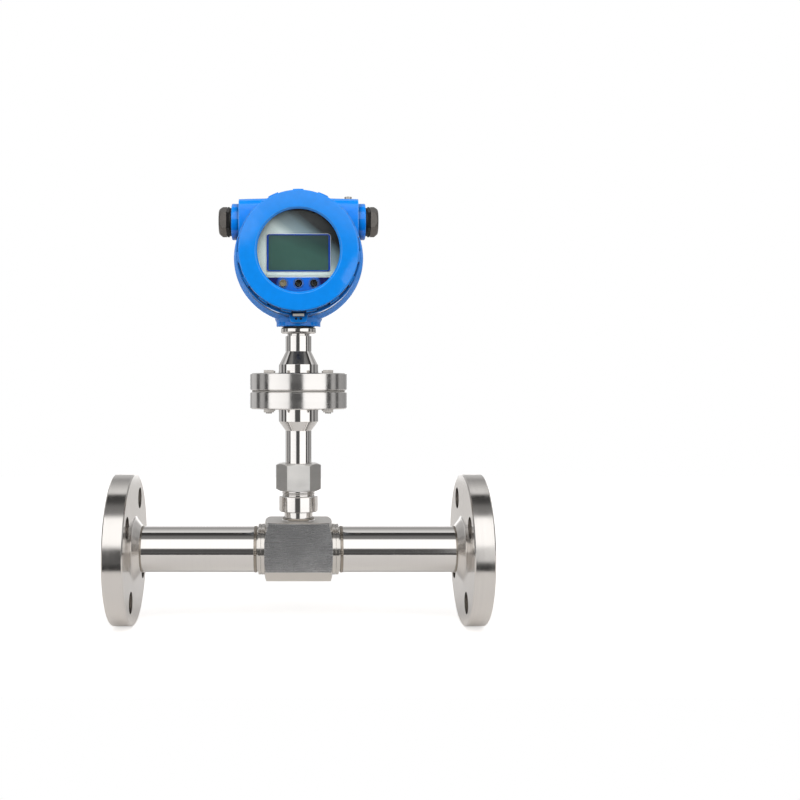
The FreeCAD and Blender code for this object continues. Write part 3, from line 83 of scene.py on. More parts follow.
def add(tree, kind, inputs=None, **settings):
    """Adds a node. settings are its properties; inputs gives sockets a value or another node's output."""
    node = tree.nodes.new(kind)
    for name, value in settings.items():
        setattr(node, name, value)
    for key, value in (inputs or {}).items():
        if isinstance(value, bpy.types.NodeSocket):
            tree.links.new(value, node.inputs[key])
        else:
            node.inputs[key].default_value = value
    return node


def band_ramp(tree, angle, bands):
    """Grey over an angle. bands is a list of (degrees, grey), and between two the grey changes evenly."""
    low, high = bands[0][0], bands[-1][0]
    span = add(tree, "ShaderNodeMapRange", {0: angle, 1: math.radians(low), 2: math.radians(high)})
    ramp = add(tree, "ShaderNodeValToRGB", {0: span.outputs[0]})
    stops = ramp.color_ramp.elements
    while len(stops) > 1:
        stops.remove(stops[-1])
    for index, (degrees, grey) in enumerate(bands):
        place = (degrees - low) / (high - low)
        stop = stops[0] if index == 0 else stops.new(place)
        stop.position = place
        stop.color = (grey, grey, grey, 1.0)
    return ramp.outputs[0]


TENT_WHITE = 1.0          # ramps hold at most 1, and TENT_POWER lifts them
TENT_POWER = 1.5
# Angle from the lens, up over the object and down behind it; below the lens it is negative.
OVERHEAD_BANDS = [
    (-180, TENT_WHITE), (-169, TENT_WHITE), (-164, 0.30), (-90, 0.10), (-60, 0.02), (-17, 0.02),
    (-13, 0.06), (-8, 0.14), (2, 0.25), (7, 0.36), (12, 0.72), (15, TENT_WHITE), (55, TENT_WHITE),
    (61, 0.18), (76, 0.14), (82, 0.05), (97, 0.02), (101, 0.62), (106, 0.62), (115, 0.50),
    (125, 0.36), (138, 0.25), (150, 0.40), (164, 0.40), (169, TENT_WHITE), (180, TENT_WHITE),
]
# Angle round the stem from the lens, to the right where it is positive.
SIDE_BANDS = [
    (-180, TENT_WHITE), (-169, TENT_WHITE), (-164, 0.32), (-146, 0.30), (-143, 0.46), (-118, 0.42),
    (-115, 0.06), (-105, 0.06), (-102, 0.36), (-88, 0.32), (-85, 0.04), (-76, 0.04),
    (-73, TENT_WHITE), (-22, 0.88), (-19, 0.07), (9, 0.07), (12, TENT_WHITE), (66, TENT_WHITE),
    (70, 0.04), (81, 0.04), (84, 0.36), (96, 0.36), (99, 0.06), (107, 0.06), (110, 0.30),
    (135, 0.26), (139, 0.22), (164, 0.34), (169, TENT_WHITE), (180, TENT_WHITE),
]
HORIZON_BAND = (0.14, 0.19)    # radians off the horizon over which the overhead bands take over
END_BAND = (0.88, 0.97)        # share of X in a direction over which the side bands do again

world = bpy.data.worlds.new("studio")
world.use_nodes = True
bpy.context.scene.world = world
sky = world.node_tree
sky.nodes.clear()
direction = add(sky, "ShaderNodeTexCoord")
aim = add(sky, "ShaderNodeSeparateXYZ", {0: direction.outputs["Generated"]})
toward = add(sky, "ShaderNodeMath", {0: aim.outputs["Y"], 1: -1.0}, operation="MULTIPLY")
rise = add(sky, "ShaderNodeMath", {0: aim.outputs["Z"], 1: toward.outputs[0]}, operation="ARCTAN2")
turn = add(sky, "ShaderNodeMath", {0: aim.outputs["X"], 1: toward.outputs[0]}, operation="ARCTAN2")
lift = add(sky, "ShaderNodeMath", {0: aim.outputs["Z"]}, operation="ARCSINE")
overhead = band_ramp(sky, rise.outputs[0], OVERHEAD_BANDS)
sides = band_ramp(sky, turn.outputs[0], SIDE_BANDS)
off_horizon = add(sky, "ShaderNodeMath", {0: lift.outputs[0]}, operation="ABSOLUTE")
near_horizon = add(sky, "ShaderNodeMapRange", {
    0: off_horizon.outputs[0], 1: HORIZON_BAND[0], 2: HORIZON_BAND[1], 3: 1.0, 4: 0.0,
})
off_side = add(sky, "ShaderNodeMath", {0: aim.outputs["X"]}, operation="ABSOLUTE")
near_end = add(sky, "ShaderNodeMapRange", {0: off_side.outputs[0], 1: END_BAND[0], 2: END_BAND[1]})
either = add(sky, "ShaderNodeMath", {
    0: near_horizon.outputs[0], 1: near_end.outputs[0],
}, operation="MAXIMUM")
studio_grey = add(sky, "ShaderNodeMix", {0: either.outputs[0], 6: overhead, 7: sides}, data_type="RGBA")


def in_sight(tree, ray):
    """1 for what the camera sees itself or straight through glass, 0 for what a surface mirrors.

    It is the larger of Is Camera Ray, and Is Transmission Ray less 1 after any mirror bounce.
    """
    mirrored = add(tree, "ShaderNodeMath", {
        0: ray.outputs["Glossy Depth"], 1: 0.5,
    }, operation="GREATER_THAN")
    through = add(tree, "ShaderNodeMath", {
        0: ray.outputs["Is Transmission Ray"], 1: mirrored.outputs[0],
    }, operation="SUBTRACT")
    return add(tree, "ShaderNodeMath", {
        0: ray.outputs["Is Camera Ray"], 1: through.outputs[0],
    }, operation="MAXIMUM").outputs[0]


seen = in_sight(sky, add(sky, "ShaderNodeLightPath"))
tent = add(sky, "ShaderNodeBackground", {"Color": studio_grey.outputs[2], "Strength": TENT_POWER})
white = add(sky, "ShaderNodeBackground", {"Color": (1, 1, 1, 1), "Strength": 1.0})
both = add(sky, "ShaderNodeMixShader", {0: seen, 1: tent.outputs[0], 2: white.outputs[0]})
add(sky, "ShaderNodeOutputWorld", {0: both.outputs[0]})


# Table: a pale sheet of paper just under the flanges, its front edge a little ahead of the object. It
# takes the object's shadow, and glows just enough to meet the white behind it without an edge.

MM = 0.001                # every length in the scene is in metres
TABLE_FRONT = -0.235
TABLE_SIDE = 1.6
TABLE_BACK = 1.6
TABLE_GAP = 0.4 * MM      # between the flanges and the sheet
GLOW_SEEN = 0.55          # strength of its glow as the camera sees it
GLOW_MIRRORED = 0.10      # and as the steel mirrors it

table_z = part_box("inlet_flange")[0][2] - TABLE_GAP
table_mesh = bpy.data.meshes.new("table")
table_mesh.from_pydata(
    [
        (STEM_X - TABLE_SIDE, TABLE_FRONT, table_z), (STEM_X + TABLE_SIDE, TABLE_FRONT, table_z),
        (STEM_X + TABLE_SIDE, TABLE_BACK, table_z), (STEM_X - TABLE_SIDE, TABLE_BACK, table_z),
    ],
    [], [(0, 1, 2, 3)],
)
table = bpy.data.objects.new("table", table_mesh)
bpy.context.scene.collection.objects.link(table)

# Matt paper: no gloss, a touch warmer than white.
table_finish = bpy.data.materials.new("matt_table_paper")
table_finish.use_nodes = True
tree = table_finish.node_tree
tree.nodes.clear()
ray = add(tree, "ShaderNodeLightPath")
mirrored = add(tree, "ShaderNodeMath", {
    0: ray.outputs["Is Glossy Ray"], 1: GLOW_MIRRORED,
}, operation="MULTIPLY")
strength = add(tree, "ShaderNodeMath", {
    0: in_sight(tree, ray), 1: GLOW_SEEN, 2: mirrored.outputs[0],
}, operation="MULTIPLY_ADD")
paper = add(tree, "ShaderNodeBsdfDiffuse", {"Color": colour("#F2EFEC")})
glow = add(tree, "ShaderNodeEmission", {"Color": (1, 1, 1, 1), "Strength": strength.outputs[0]})
both = add(tree, "ShaderNodeAddShader", {0: paper.outputs[0], 1: glow.outputs[0]})
add(tree, "ShaderNodeOutputMaterial", {0: both.outputs[0]})
table_mesh.materials.append(table_finish)


# Ceiling lamp: one wide soft light above and in front of the object, as the tent's ceiling gives. It
# fills the shadows under the covers, and the steel doesn't mirror it.

LAMP_WIDE = 1.2
LAMP_DEEP = 0.8
LAMP_WATTS = 6.0
LAMP_PLACE = (STEM_X, -0.9, 1.3)
LAMP_TILT_DEG = 38

lamp_data = bpy.data.lights.new("tent_ceiling", "AREA")
lamp_data.shape = "RECTANGLE"
lamp_data.size = LAMP_WIDE
lamp_data.size_y = LAMP_DEEP
lamp_data.energy = LAMP_WATTS
lamp = bpy.data.objects.new("tent_ceiling", lamp_data)
lamp.location = LAMP_PLACE
lamp.rotation_euler = (math.radians(LAMP_TILT_DEG), 0, 0)
lamp.visible_glossy = False
bpy.context.scene.collection.objects.link(lamp)


# Pipe run: two stainless flanges with turned hubs and two drawn, polished stainless pipes, welded
# together. Lathe lines run round the pipe's axis, so a pattern depends only on the place along the
# axis and the distance from it.

TURNING_LINE_MM = 0.35    # feed of the lathe; the real one is finer and is drawn coarse enough to show
TURNING_PATCH_MM = 9.0    # slow change of polish along the work
SMUDGE_MM = 22.22         # slow change of polish from handling
CORNER_SHADE_MM = 1.6      # how far out of an inner corner its painted shade reaches
CORNER_OPEN = (0.35, 0.75)     # share of open space at a point where that painted shade is full, and ends
POLISH_RANGE = (0.75, 1.3)     # roughness of the best and the worst patch, for a mean of 1
NOISE_LOW, NOISE_HIGH = 0.3, 0.7     # nearly all of a noise lies between these
LINE_SHADE = 0.93         # tone in the bottom of a turning line, for 1 on its crest
SHARP_DEG = 20.0          # an edge that bends by more than this stays sharp
SAME_POINT = 2e-6         # corners of neighbouring triangles nearer than this are one point


def material(name):
    """Empty node material with its output node; returns (material, tree, output)."""
    made = bpy.data.materials.new(name)
    made.use_nodes = True
    made.node_tree.nodes.clear()
    return made, made.node_tree, add(made.node_tree, "ShaderNodeOutputMaterial")


def turned_place(tree, axis, centre):
    """(along the axis, distance from it, 0) of a point, for patterns that go round; and the point."""
    here = add(tree, "ShaderNodeTexCoord").outputs["Object"]
    local = add(tree, "ShaderNodeVectorMath", {0: here, 1: centre}, operation="SUBTRACT").outputs[0]
    keep = [1.0, 1.0, 1.0]
    keep["XYZ".index(axis)] = 0.0
    across = add(tree, "ShaderNodeVectorMath", {0: local, 1: keep}, operation="MULTIPLY").outputs[0]
    radius = add(tree, "ShaderNodeVectorMath", {0: across}, operation="LENGTH").outputs["Value"]
    along = add(tree, "ShaderNodeSeparateXYZ", {0: local}).outputs[axis]
    return add(tree, "ShaderNodeCombineXYZ", {"X": along, "Y": radius}).outputs[0], here


def turned_steel(name, axis, centre, tone, roughness, line_mm, edge_mm=0.25, painted_shade_low=0.35):
    """Stainless steel turned about an axis: fine lines, broken edges, painted corner shade, patchy polish.

    line_mm is the depth of the lines, edge_mm the radius that breaks an edge, and painted_shade_low the
    share of its tone that the steel keeps under the painted shade of the darkest inner corner.
    """
    made, tree, output = material(name)
    place, here = turned_place(tree, axis, centre)
    lines = add(tree, "ShaderNodeTexNoise", {
        "Vector": place, "Scale": 1 / (TURNING_LINE_MM * MM), "Detail": 3.0, "Roughness": 0.7,
    }, noise_dimensions="2D")
    patches = add(tree, "ShaderNodeTexNoise", {
        "Vector": place, "Scale": 1 / (TURNING_PATCH_MM * MM), "Detail": 4.0,
    }, noise_dimensions="2D")
    smudge = add(tree, "ShaderNodeTexNoise", {"Vector": here, "Scale": 1 / (SMUDGE_MM * MM), "Detail": 5.0})
    polish = add(tree, "ShaderNodeMix", {
        0: 0.5, 2: patches.outputs[0], 3: smudge.outputs[0],
    }, data_type="FLOAT")
    rough = add(tree, "ShaderNodeMapRange", {
        0: polish.outputs[0], 1: NOISE_LOW, 2: NOISE_HIGH,
        3: roughness * POLISH_RANGE[0], 4: roughness * POLISH_RANGE[1],
    })
    shade = add(tree, "ShaderNodeMapRange", {
        0: lines.outputs[0], 1: 0.25, 2: 0.75, 3: LINE_SHADE, 4: 1.0,
    })
    tint = add(tree, "ShaderNodeMix", {
        0: 1.0, 6: colour(tone), 7: shade.outputs[0],
    }, data_type="RGBA", blend_type="MULTIPLY")
    # Painted shade: the steel's tone darkens in inner corners, where less light reaches.
    corner = add(tree, "ShaderNodeAmbientOcclusion", {"Distance": CORNER_SHADE_MM * MM}, samples=8)
    painted_corner_shade = add(tree, "ShaderNodeMapRange", {
        0: corner.outputs["AO"], 1: CORNER_OPEN[0], 2: CORNER_OPEN[1], 3: painted_shade_low, 4: 1.0,
    })
    tint = add(tree, "ShaderNodeMix", {
        0: 1.0, 6: tint.outputs[2], 7: painted_corner_shade.outputs[0],
    }, data_type="RGBA", blend_type="MULTIPLY")
    soft_edge = add(tree, "ShaderNodeBevel", {"Radius": edge_mm * MM}, samples=4)
    bump = add(tree, "ShaderNodeBump", {
        "Height": lines.outputs[0], "Distance": line_mm * MM, "Strength": 0.6,
        "Normal": soft_edge.outputs[0],
    })
    steel = add(tree, "ShaderNodeBsdfPrincipled", {
        "Base Color": tint.outputs[2], "Metallic": 1.0, "Roughness": rough.outputs[0],
        "Normal": bump.outputs[0],
    })
    tree.links.new(steel.outputs[0], output.inputs[0])
    return made


# A CAD node's mesh is loose triangles. This joins them for display, and shades them smooth but for
# the edges sharper than SHARP_DEG.
smooth_cad = bpy.data.node_groups.new("smooth_cad", "GeometryNodeTree")
smooth_cad.interface.new_socket("Geometry", in_out="INPUT", socket_type="NodeSocketGeometry")
smooth_cad.interface.new_socket("Geometry", in_out="OUTPUT", socket_type="NodeSocketGeometry")
source = add(smooth_cad, "NodeGroupInput")
joined = add(smooth_cad, "GeometryNodeMergeByDistance", {0: source.outputs[0], "Distance": SAME_POINT})
bend = add(smooth_cad, "GeometryNodeInputMeshEdgeAngle")
flat = add(smooth_cad, "FunctionNodeCompare", {
    0: bend.outputs[0], 1: math.radians(SHARP_DEG),
}, operation="LESS_THAN")
faces = add(smooth_cad, "GeometryNodeSetShadeSmooth", {0: joined.outputs[0], "Shade Smooth": True})
edges = add(smooth_cad, "GeometryNodeSetShadeSmooth", {
    0: faces.outputs[0], "Shade Smooth": flat.outputs[0],
}, domain="EDGE")
end = add(smooth_cad, "NodeGroupOutput")
smooth_cad.links.new(edges.outputs[0], end.inputs[0])


def dress(finish, *nodes):
    """Gives CAD nodes a finish and smooth shading."""
    for node in nodes:
        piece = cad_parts[node]
        piece.data.materials.clear()
        piece.data.materials.append(finish)
        piece.modifiers.new("smooth_cad", "NODES").node_group = smooth_cad


PIPE_AXIS = (0, 0, 0)
# Polished pipe: a near mirror with long straight bands. Turned flange: the same steel with its mirror
# drawn out to a sheen by the lathe lines, and only light painted shade in its inner corners.
polished_pipe = turned_steel("polished_stainless_pipe", "X", PIPE_AXIS, "#DEDBD8", 0.075, 0.0015)
flange_steel = turned_steel(
    "turned_stainless_flange", "X", PIPE_AXIS, "#DAD6D2", 0.17, 0.004, painted_shade_low=0.8,
)
dress(polished_pipe, "inlet_pipe", "outlet_pipe")
dress(flange_steel, "inlet_flange", "outlet_flange")


# Body block: a stainless bar, machined all over, which carries the pipes on turned spigots. Its front
# and back are ground with a brushed grain along the pipe, its ends and spigots are turned bright, and
# its top is left matt.

GRAIN_MM = 0.5            # brushed grain across its run; the real one is finer and would not show
GRAIN_LONG_MM = 30.0
GRAIN_DEEP_MM = 0.006
CLOUD_MM = 16.67          # slow change of shade in the ground flats
CLOUD_SHARE = 0.35        # its part in the mix with the grain
BLOCK_EDGE_MM = 0.4       # radius that breaks the block's edges
BLOCK_HALF = 34.5 * MM    # half length of the bar between its end faces
BLOCK_FACE_R = 29.0 * MM  # flat part of the turned end face
BLOCK_CONE = 0.348        # run back of the end cone for each unit of radius
BLOCK_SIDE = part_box("body_block")[1][1]
FACE_SLACK = 0.05 * MM    # a point nearer to the front or back than this lies in it
GROUND_ROUGH = 0.26
TURNED_ROUGH = 0.12
TOP_ROUGH = 0.55
TOP_FACING = 0.95         # a face whose normal rises by more than this is the block's top

# Brushed stainless: a grey sheen streaked along the pipe. A point is on the turned end, where the steel
# is bright, once |x - stem| + cone * (radius - face radius) passes half the length, and everywhere but
# on the ground front and back.
block_steel, tree, output = material("brushed_stainless_block")
place, here = turned_place(tree, "X", (STEM_X, 0, 0))
split = add(tree, "ShaderNodeSeparateXYZ", {0: place})
out = add(tree, "ShaderNodeMath", {0: split.outputs["X"]}, operation="ABSOLUTE")
back = add(tree, "ShaderNodeMath", {
    0: split.outputs["Y"], 1: BLOCK_CONE, 2: out.outputs[0],
}, operation="MULTIPLY_ADD")
turned_end = add(tree, "ShaderNodeMath", {
    0: back.outputs[0], 1: BLOCK_HALF + BLOCK_CONE * BLOCK_FACE_R - 2 * FACE_SLACK,
}, operation="GREATER_THAN")
deep = add(tree, "ShaderNodeMath", {
    0: add(tree, "ShaderNodeSeparateXYZ", {0: here}).outputs["Y"],
}, operation="ABSOLUTE")
other_side = add(tree, "ShaderNodeMath", {
    0: deep.outputs[0], 1: BLOCK_SIDE - FACE_SLACK,
}, operation="LESS_THAN")
turned_end = add(tree, "ShaderNodeMath", {
    0: turned_end.outputs[0], 1: other_side.outputs[0],
}, operation="MAXIMUM")
laid = add(tree, "ShaderNodeMapping", {
    "Vector": here, "Scale": [1 / (GRAIN_LONG_MM * MM), 1 / (GRAIN_MM * MM), 1 / (GRAIN_MM * MM)],
})
grain = add(tree, "ShaderNodeTexNoise", {
    "Vector": laid.outputs[0], "Scale": 1.0, "Detail": 4.0, "Roughness": 0.65,
})
cloud = add(tree, "ShaderNodeTexNoise", {
    "Vector": here, "Scale": 1 / (CLOUD_MM * MM), "Detail": 6.0, "Roughness": 0.6,
})
mixed = add(tree, "ShaderNodeMix", {
    0: CLOUD_SHARE, 2: grain.outputs[0], 3: cloud.outputs[0],
}, data_type="FLOAT")
rough = add(tree, "ShaderNodeMapRange", {
    0: mixed.outputs[0], 1: NOISE_LOW, 2: NOISE_HIGH, 3: GROUND_ROUGH * 0.8, 4: GROUND_ROUGH * 1.2,
})
shade = add(tree, "ShaderNodeMapRange", {
    0: mixed.outputs[0], 1: NOISE_LOW, 2: NOISE_HIGH, 3: 0.9, 4: 1.05,
})
tint = add(tree, "ShaderNodeMix", {
    0: 1.0, 6: colour("#D2D2D3"), 7: shade.outputs[0],
}, data_type="RGBA", blend_type="MULTIPLY")
tint = add(tree, "ShaderNodeMix", {
    0: turned_end.outputs[0], 6: tint.outputs[2], 7: colour("#CDC9C4"),
}, data_type="RGBA")
facing = add(tree, "ShaderNodeSeparateXYZ", {0: add(tree, "ShaderNodeNewGeometry").outputs["True Normal"]})
top = add(tree, "ShaderNodeMath", {0: facing.outputs["Z"], 1: TOP_FACING}, operation="GREATER_THAN")
tint = add(tree, "ShaderNodeMix", {
    0: top.outputs[0], 6: tint.outputs[2], 7: colour("#D0CDCA"),
}, data_type="RGBA")
rough = add(tree, "ShaderNodeMix", {
    0: turned_end.outputs[0], 2: rough.outputs[0], 3: TURNED_ROUGH,
}, data_type="FLOAT")
rough = add(tree, "ShaderNodeMix", {
    0: top.outputs[0], 2: rough.outputs[0], 3: TOP_ROUGH,
}, data_type="FLOAT")
soft_edge = add(tree, "ShaderNodeBevel", {"Radius": BLOCK_EDGE_MM * MM}, samples=4)
bump = add(tree, "ShaderNodeBump", {
    "Height": grain.outputs[0], "Distance": GRAIN_DEEP_MM * MM, "Strength": 0.4,
    "Normal": soft_edge.outputs[0],
})
steel = add(tree, "ShaderNodeBsdfPrincipled", {
    "Base Color": tint.outputs[2], "Metallic": 1.0, "Roughness": rough.outputs[0],
    "Normal": bump.outputs[0],
})
tree.links.new(steel.outputs[0], output.inputs[0])
dress(block_steel, "body_block")


# Stem and probe: the welded socket, the necks with their cones and the lock ring are stainless, turned
# and polished. The ferrule and the probe inside the pipe, with its guard and two sensor tubes, are
# the same steel left satin.

STEM_AXIS = (STEM_X, 0, 0)
# Polished steel mirrors the studio in crisp upright bands; the satin steel only glows softly.
polished_stem = turned_steel("polished_stainless_stem", "Z", STEM_AXIS, "#DEDBD8", 0.075, 0.0015)
dress(polished_stem, "stem_socket", "lower_neck", "upper_neck", "swivel_lock_ring")
satin_probe = turned_steel("satin_stainless_probe", "Z", STEM_AXIS, "#C9C6C2", 0.25, 0.004)
dress(satin_probe, "ferrule", "probe_body", "heated_sensor", "reference_sensor", "probe_guard")


# Union nut: cut from drawn hexagon bar and screwed on the socket to press the ferrule tight. Its
# chamfers are turned, and its flats keep the dull skin of the drawn bar.

SIDE_FACING = (0.55, 0.85)     # |X| of a flat's normal where its painted shade begins, and is full
SIDE_PAINTED_SHADE = 0.5

# Drawn stainless: pale and matt, each flat one even tone, with painted shade on the flats that face aside.
nut_steel = turned_steel("drawn_stainless_nut", "Z", STEM_AXIS, "#F4F2EF", 0.5, 0.003, edge_mm=0.7)
tree = nut_steel.node_tree
steel = next(node for node in tree.nodes if node.bl_idname == "ShaderNodeBsdfPrincipled")
# Painted shade: the flats that face aside are darkened, as if less light falls on them.
facing = add(tree, "ShaderNodeSeparateXYZ", {0: add(tree, "ShaderNodeNewGeometry").outputs["True Normal"]})
aside = add(tree, "ShaderNodeMath", {0: facing.outputs["X"]}, operation="ABSOLUTE")
side_painted_shade = add(tree, "ShaderNodeMapRange", {
    0: aside.outputs[0], 1: SIDE_FACING[0], 2: SIDE_FACING[1], 3: 1.0, 4: SIDE_PAINTED_SHADE,
})
tint = add(tree, "ShaderNodeMix", {
    0: 1.0, 6: steel.inputs["Base Color"].links[0].from_socket, 7: side_painted_shade.outputs[0],
}, data_type="RGBA", blend_type="MULTIPLY")
tree.links.new(tint.outputs[2], steel.inputs["Base Color"])
dress(nut_steel, "union_nut")


# Weld beads. The pipes are welded to the flange hubs and to the block's spigots, and the socket to the
# block's top. Each bead is a low ring of stainless filler metal, laid in overlapping ripples.

RIPPLES = 90              # ripples round a bead
AROUND = 360              # steps round a bead
ARC_POINTS = 7            # points over a bead's section
BEAD_SUNK = 0.4 * MM      # depth of its closing point inside the steel
PIPE_BEAD = (1.5 * MM, 0.45 * MM)      # half width and height
SOCKET_BEAD = (1.4 * MM, 0.5 * MM)
SOCKET_BEAD_R = 15.6 * MM
SOCKET_BEAD_RISE = 1.3 * MM            # its middle above the block's top


def new_piece(name, points, faces, finish, body):
    """Makes a mesh object from points in metres and faces, dressed and riding on a body."""
    mesh = bpy.data.meshes.new(name)
    mesh.from_pydata(points.tolist(), [], faces)
    mesh.materials.append(finish)
    mesh.shade_smooth()
    piece = bpy.data.objects.new(name, mesh)
    bpy.context.scene.collection.objects.link(piece)
    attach(piece, body)
    return piece


def tube_faces(steps, sides, closed):
    """Quads between each ring of points and the next.

    A closed tube ends on its first ring, and an open one is capped.
    """
    ring = np.arange(steps if closed else steps - 1)[:, None]
    side = np.arange(sides)[None, :]
    here, after, beside = ring * sides, (ring + 1) % steps * sides, (side + 1) % sides
    quads = np.stack([here + side, after + side, after + beside, here + beside], axis=-1)
    faces = quads.reshape(-1, 4).tolist()
    if not closed:
        faces.append(list(range(sides)))
        faces.append(list(range(steps * sides - 1, (steps - 1) * sides - 1, -1)))
    return faces


def laid_round(axis, centre, along, radius, angle):
    """Points at a distance along an axis and a radius from it, at an angle round it.

    Across the axis a point is radius * (cos angle, sin angle), and the centre is added to it.
    """
    u, v = radius * np.cos(angle), radius * np.sin(angle)
    columns = {"X": (along + 0 * u, u, v), "Y": (v, along + 0 * u, u), "Z": (u, v, along + 0 * u)}[axis]
    return np.stack(columns, axis=-1).reshape(-1, 3) + np.array(centre)


def weld_bead(name, axis, place, radius, size):
    """Rippled ring of weld round a cylinder, with a low arc for its section; s goes from 0 to pi over it.

    ripple = cos(RIPPLES * angle + 1.5 * sin s), rise = high * sin s * (0.85 + 0.15 * ripple), and
    along = -half width * cos s * (1 + 0.05 * ripple).
    """
    half_wide, high = size
    angle = np.linspace(0, 2 * math.pi, AROUND, endpoint=False)[:, None]
    section = np.linspace(0, math.pi, ARC_POINTS)[None, :]
    ripple = np.cos(RIPPLES * angle + 1.5 * np.sin(section))
    rise = high * np.sin(section) * (0.85 + 0.15 * ripple)
    along = -half_wide * np.cos(section) * (1 + 0.05 * ripple)
    sunk = np.full((AROUND, 1), -BEAD_SUNK)
    rise, along = np.hstack([rise, sunk]), np.hstack([along, 0 * sunk])
    centre = [STEM_X, 0, 0]
    centre["XYZ".index(axis)] = place
    points = laid_round(axis, centre, along, radius + rise, angle)
    faces = tube_faces(AROUND, ARC_POINTS + 1, True)
    new_piece(name, points, faces, bead_steel, "pipe_and_stem")


# Weld metal as laid and brushed: the straw brown of its heat tint, still half glossy.
bead_steel = turned_steel("brushed_weld_stainless", "X", PIPE_AXIS, "#9C948A", 0.2, 0.001)
PIPE_R = (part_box("inlet_pipe")[1][2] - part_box("inlet_pipe")[0][2]) / 2
for pipe in ("inlet_pipe", "outlet_pipe"):
    low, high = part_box(pipe)
    weld_bead(pipe + "_weld_left", "X", low[0], PIPE_R, PIPE_BEAD)
    weld_bead(pipe + "_weld_right", "X", high[0], PIPE_R, PIPE_BEAD)
block_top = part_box("body_block")[1][2]
weld_bead("socket_weld", "Z", block_top + SOCKET_BEAD_RISE, SOCKET_BEAD_R, SOCKET_BEAD)


# Socket thread. A few turns of the socket's cut thread show between its collar and the union nut: one
# helical ridge of the socket's own polished steel, whose crest sinks away at both ends.

THREAD_R = 16.5 * MM      # outside of the socket's threaded part
THREAD_PITCH = 1.5 * MM
THREAD_DEEP = 0.45 * MM
THREAD_SHOWN = 5.2 * MM
THREAD_CLEAR = 0.1 * MM   # kept free of the collar and of the nut
THREAD_FOOT = 0.05 * MM   # depth of the ridge's feet inside the socket
THREAD_SUNK = 0.4 * MM    # and of its closing point
RIDGE_CLIMB = [[0.05, 0.42, 0.58, 0.95, 0.5]]    # foot, crest, crest, foot, closing point, in pitches

nut_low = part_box("union_nut")[0][2]
thread_low, thread_high = nut_low - THREAD_SHOWN + THREAD_CLEAR, nut_low - THREAD_CLEAR
turns = (thread_high - thread_low) / THREAD_PITCH - 1
steps = int(turns * AROUND / 3)
# Each step turns by 2 pi times its share of a turn and climbs by that share of the pitch. The crest
# rises evenly over the first half turn and sinks over the last.
share = np.linspace(0, turns, steps)[:, None]
crest = np.clip(np.minimum(share, turns - share) * 2, 0, 1) * THREAD_DEEP
foot, sunk = np.full_like(share, -THREAD_FOOT), np.full_like(share, -THREAD_SUNK)
rise = np.hstack([foot, crest, crest, foot, sunk])
along = thread_low + THREAD_PITCH * share + THREAD_PITCH * np.array(RIDGE_CLIMB)
points = laid_round("Z", STEM_AXIS, along, THREAD_R + rise, 2 * math.pi * share)
faces = tube_faces(steps, rise.shape[1], False)
new_piece("socket_thread", points, faces, polished_stem, "pipe_and_stem")


# Sensor flanges: two thick stainless discs, turned satin, with a thin sheet gasket between them, held
# together by four small bolts and nuts. The head's small screws are of the same bright steel.

MOULD_EDGE_MM = 0.3       # radius of the edges of small moulded and pressed pieces


def moulded(name, tone, roughness, grain_mm=0.6, depth_mm=0.02, metallic=0.0, ior=1.5):
    """Lightly textured surface of one tone, as a mould, a press or a plating bath leaves it.

    grain_mm is the size of the texture and depth_mm its depth; both tone and roughness vary with it.
    """
    made, tree, output = material(name)
    here = add(tree, "ShaderNodeTexCoord").outputs["Object"]
    grain = add(tree, "ShaderNodeTexNoise", {"Vector": here, "Scale": 1 / (grain_mm * MM), "Detail": 3.0})
    shade = add(tree, "ShaderNodeMapRange", {
        0: grain.outputs[0], 1: NOISE_LOW, 2: NOISE_HIGH, 3: 0.88, 4: 1.1,
    })
    tint = add(tree, "ShaderNodeMix", {
        0: 1.0, 6: colour(tone), 7: shade.outputs[0],
    }, data_type="RGBA", blend_type="MULTIPLY")
    rough = add(tree, "ShaderNodeMapRange", {
        0: grain.outputs[0], 1: NOISE_LOW, 2: NOISE_HIGH, 3: roughness * 0.85, 4: roughness * 1.15,
    })
    soft_edge = add(tree, "ShaderNodeBevel", {"Radius": MOULD_EDGE_MM * MM}, samples=4)
    bump = add(tree, "ShaderNodeBump", {
        "Height": grain.outputs[0], "Distance": depth_mm * MM, "Strength": 0.5,
        "Normal": soft_edge.outputs[0],
    })
    body = add(tree, "ShaderNodeBsdfPrincipled", {
        "Base Color": tint.outputs[2], "Roughness": rough.outputs[0], "Metallic": metallic, "IOR": ior,
        "Normal": bump.outputs[0],
    })
    tree.links.new(body.outputs[0], output.inputs[0])
    return made


# Satin turned steel: soft-edged upright bands. Gasket sheet: pressed fibre, pale grey and dull. Bright
# fasteners: small, a little darker than the flanges and half glossy. Zinc: pale and matt.
satin_flange = turned_steel("satin_stainless_flange", "Z", STEM_AXIS, "#DAD7D4", 0.17, 0.010, edge_mm=0.4)
dress(satin_flange, "lower_sensor_flange", "upper_sensor_flange")
dress(moulded("pressed_fibre_gasket", "#C9C6C0", 0.6), "flange_gasket")
fastener_steel = turned_steel(
    "bright_stainless_fastener", "Z", STEM_AXIS, "#B4B0AB", 0.3, 0.002, edge_mm=0.2,
)
dress(
    fastener_steel, "flange_bolts", "flange_nuts", "neck_retaining_ring", "earth_screw",
    "inner_earth_screw", "neck_set_screw", "cover_lock_screws", "terminal_screws", "display_spacers",
    "module_standoffs",
)
clamp_zinc = turned_steel("zinc_plated_clamp", "Z", STEM_AXIS, "#F2F2F0", 0.6, 0.002, edge_mm=0.3)
dress(clamp_zinc, "cover_lock_clamps")
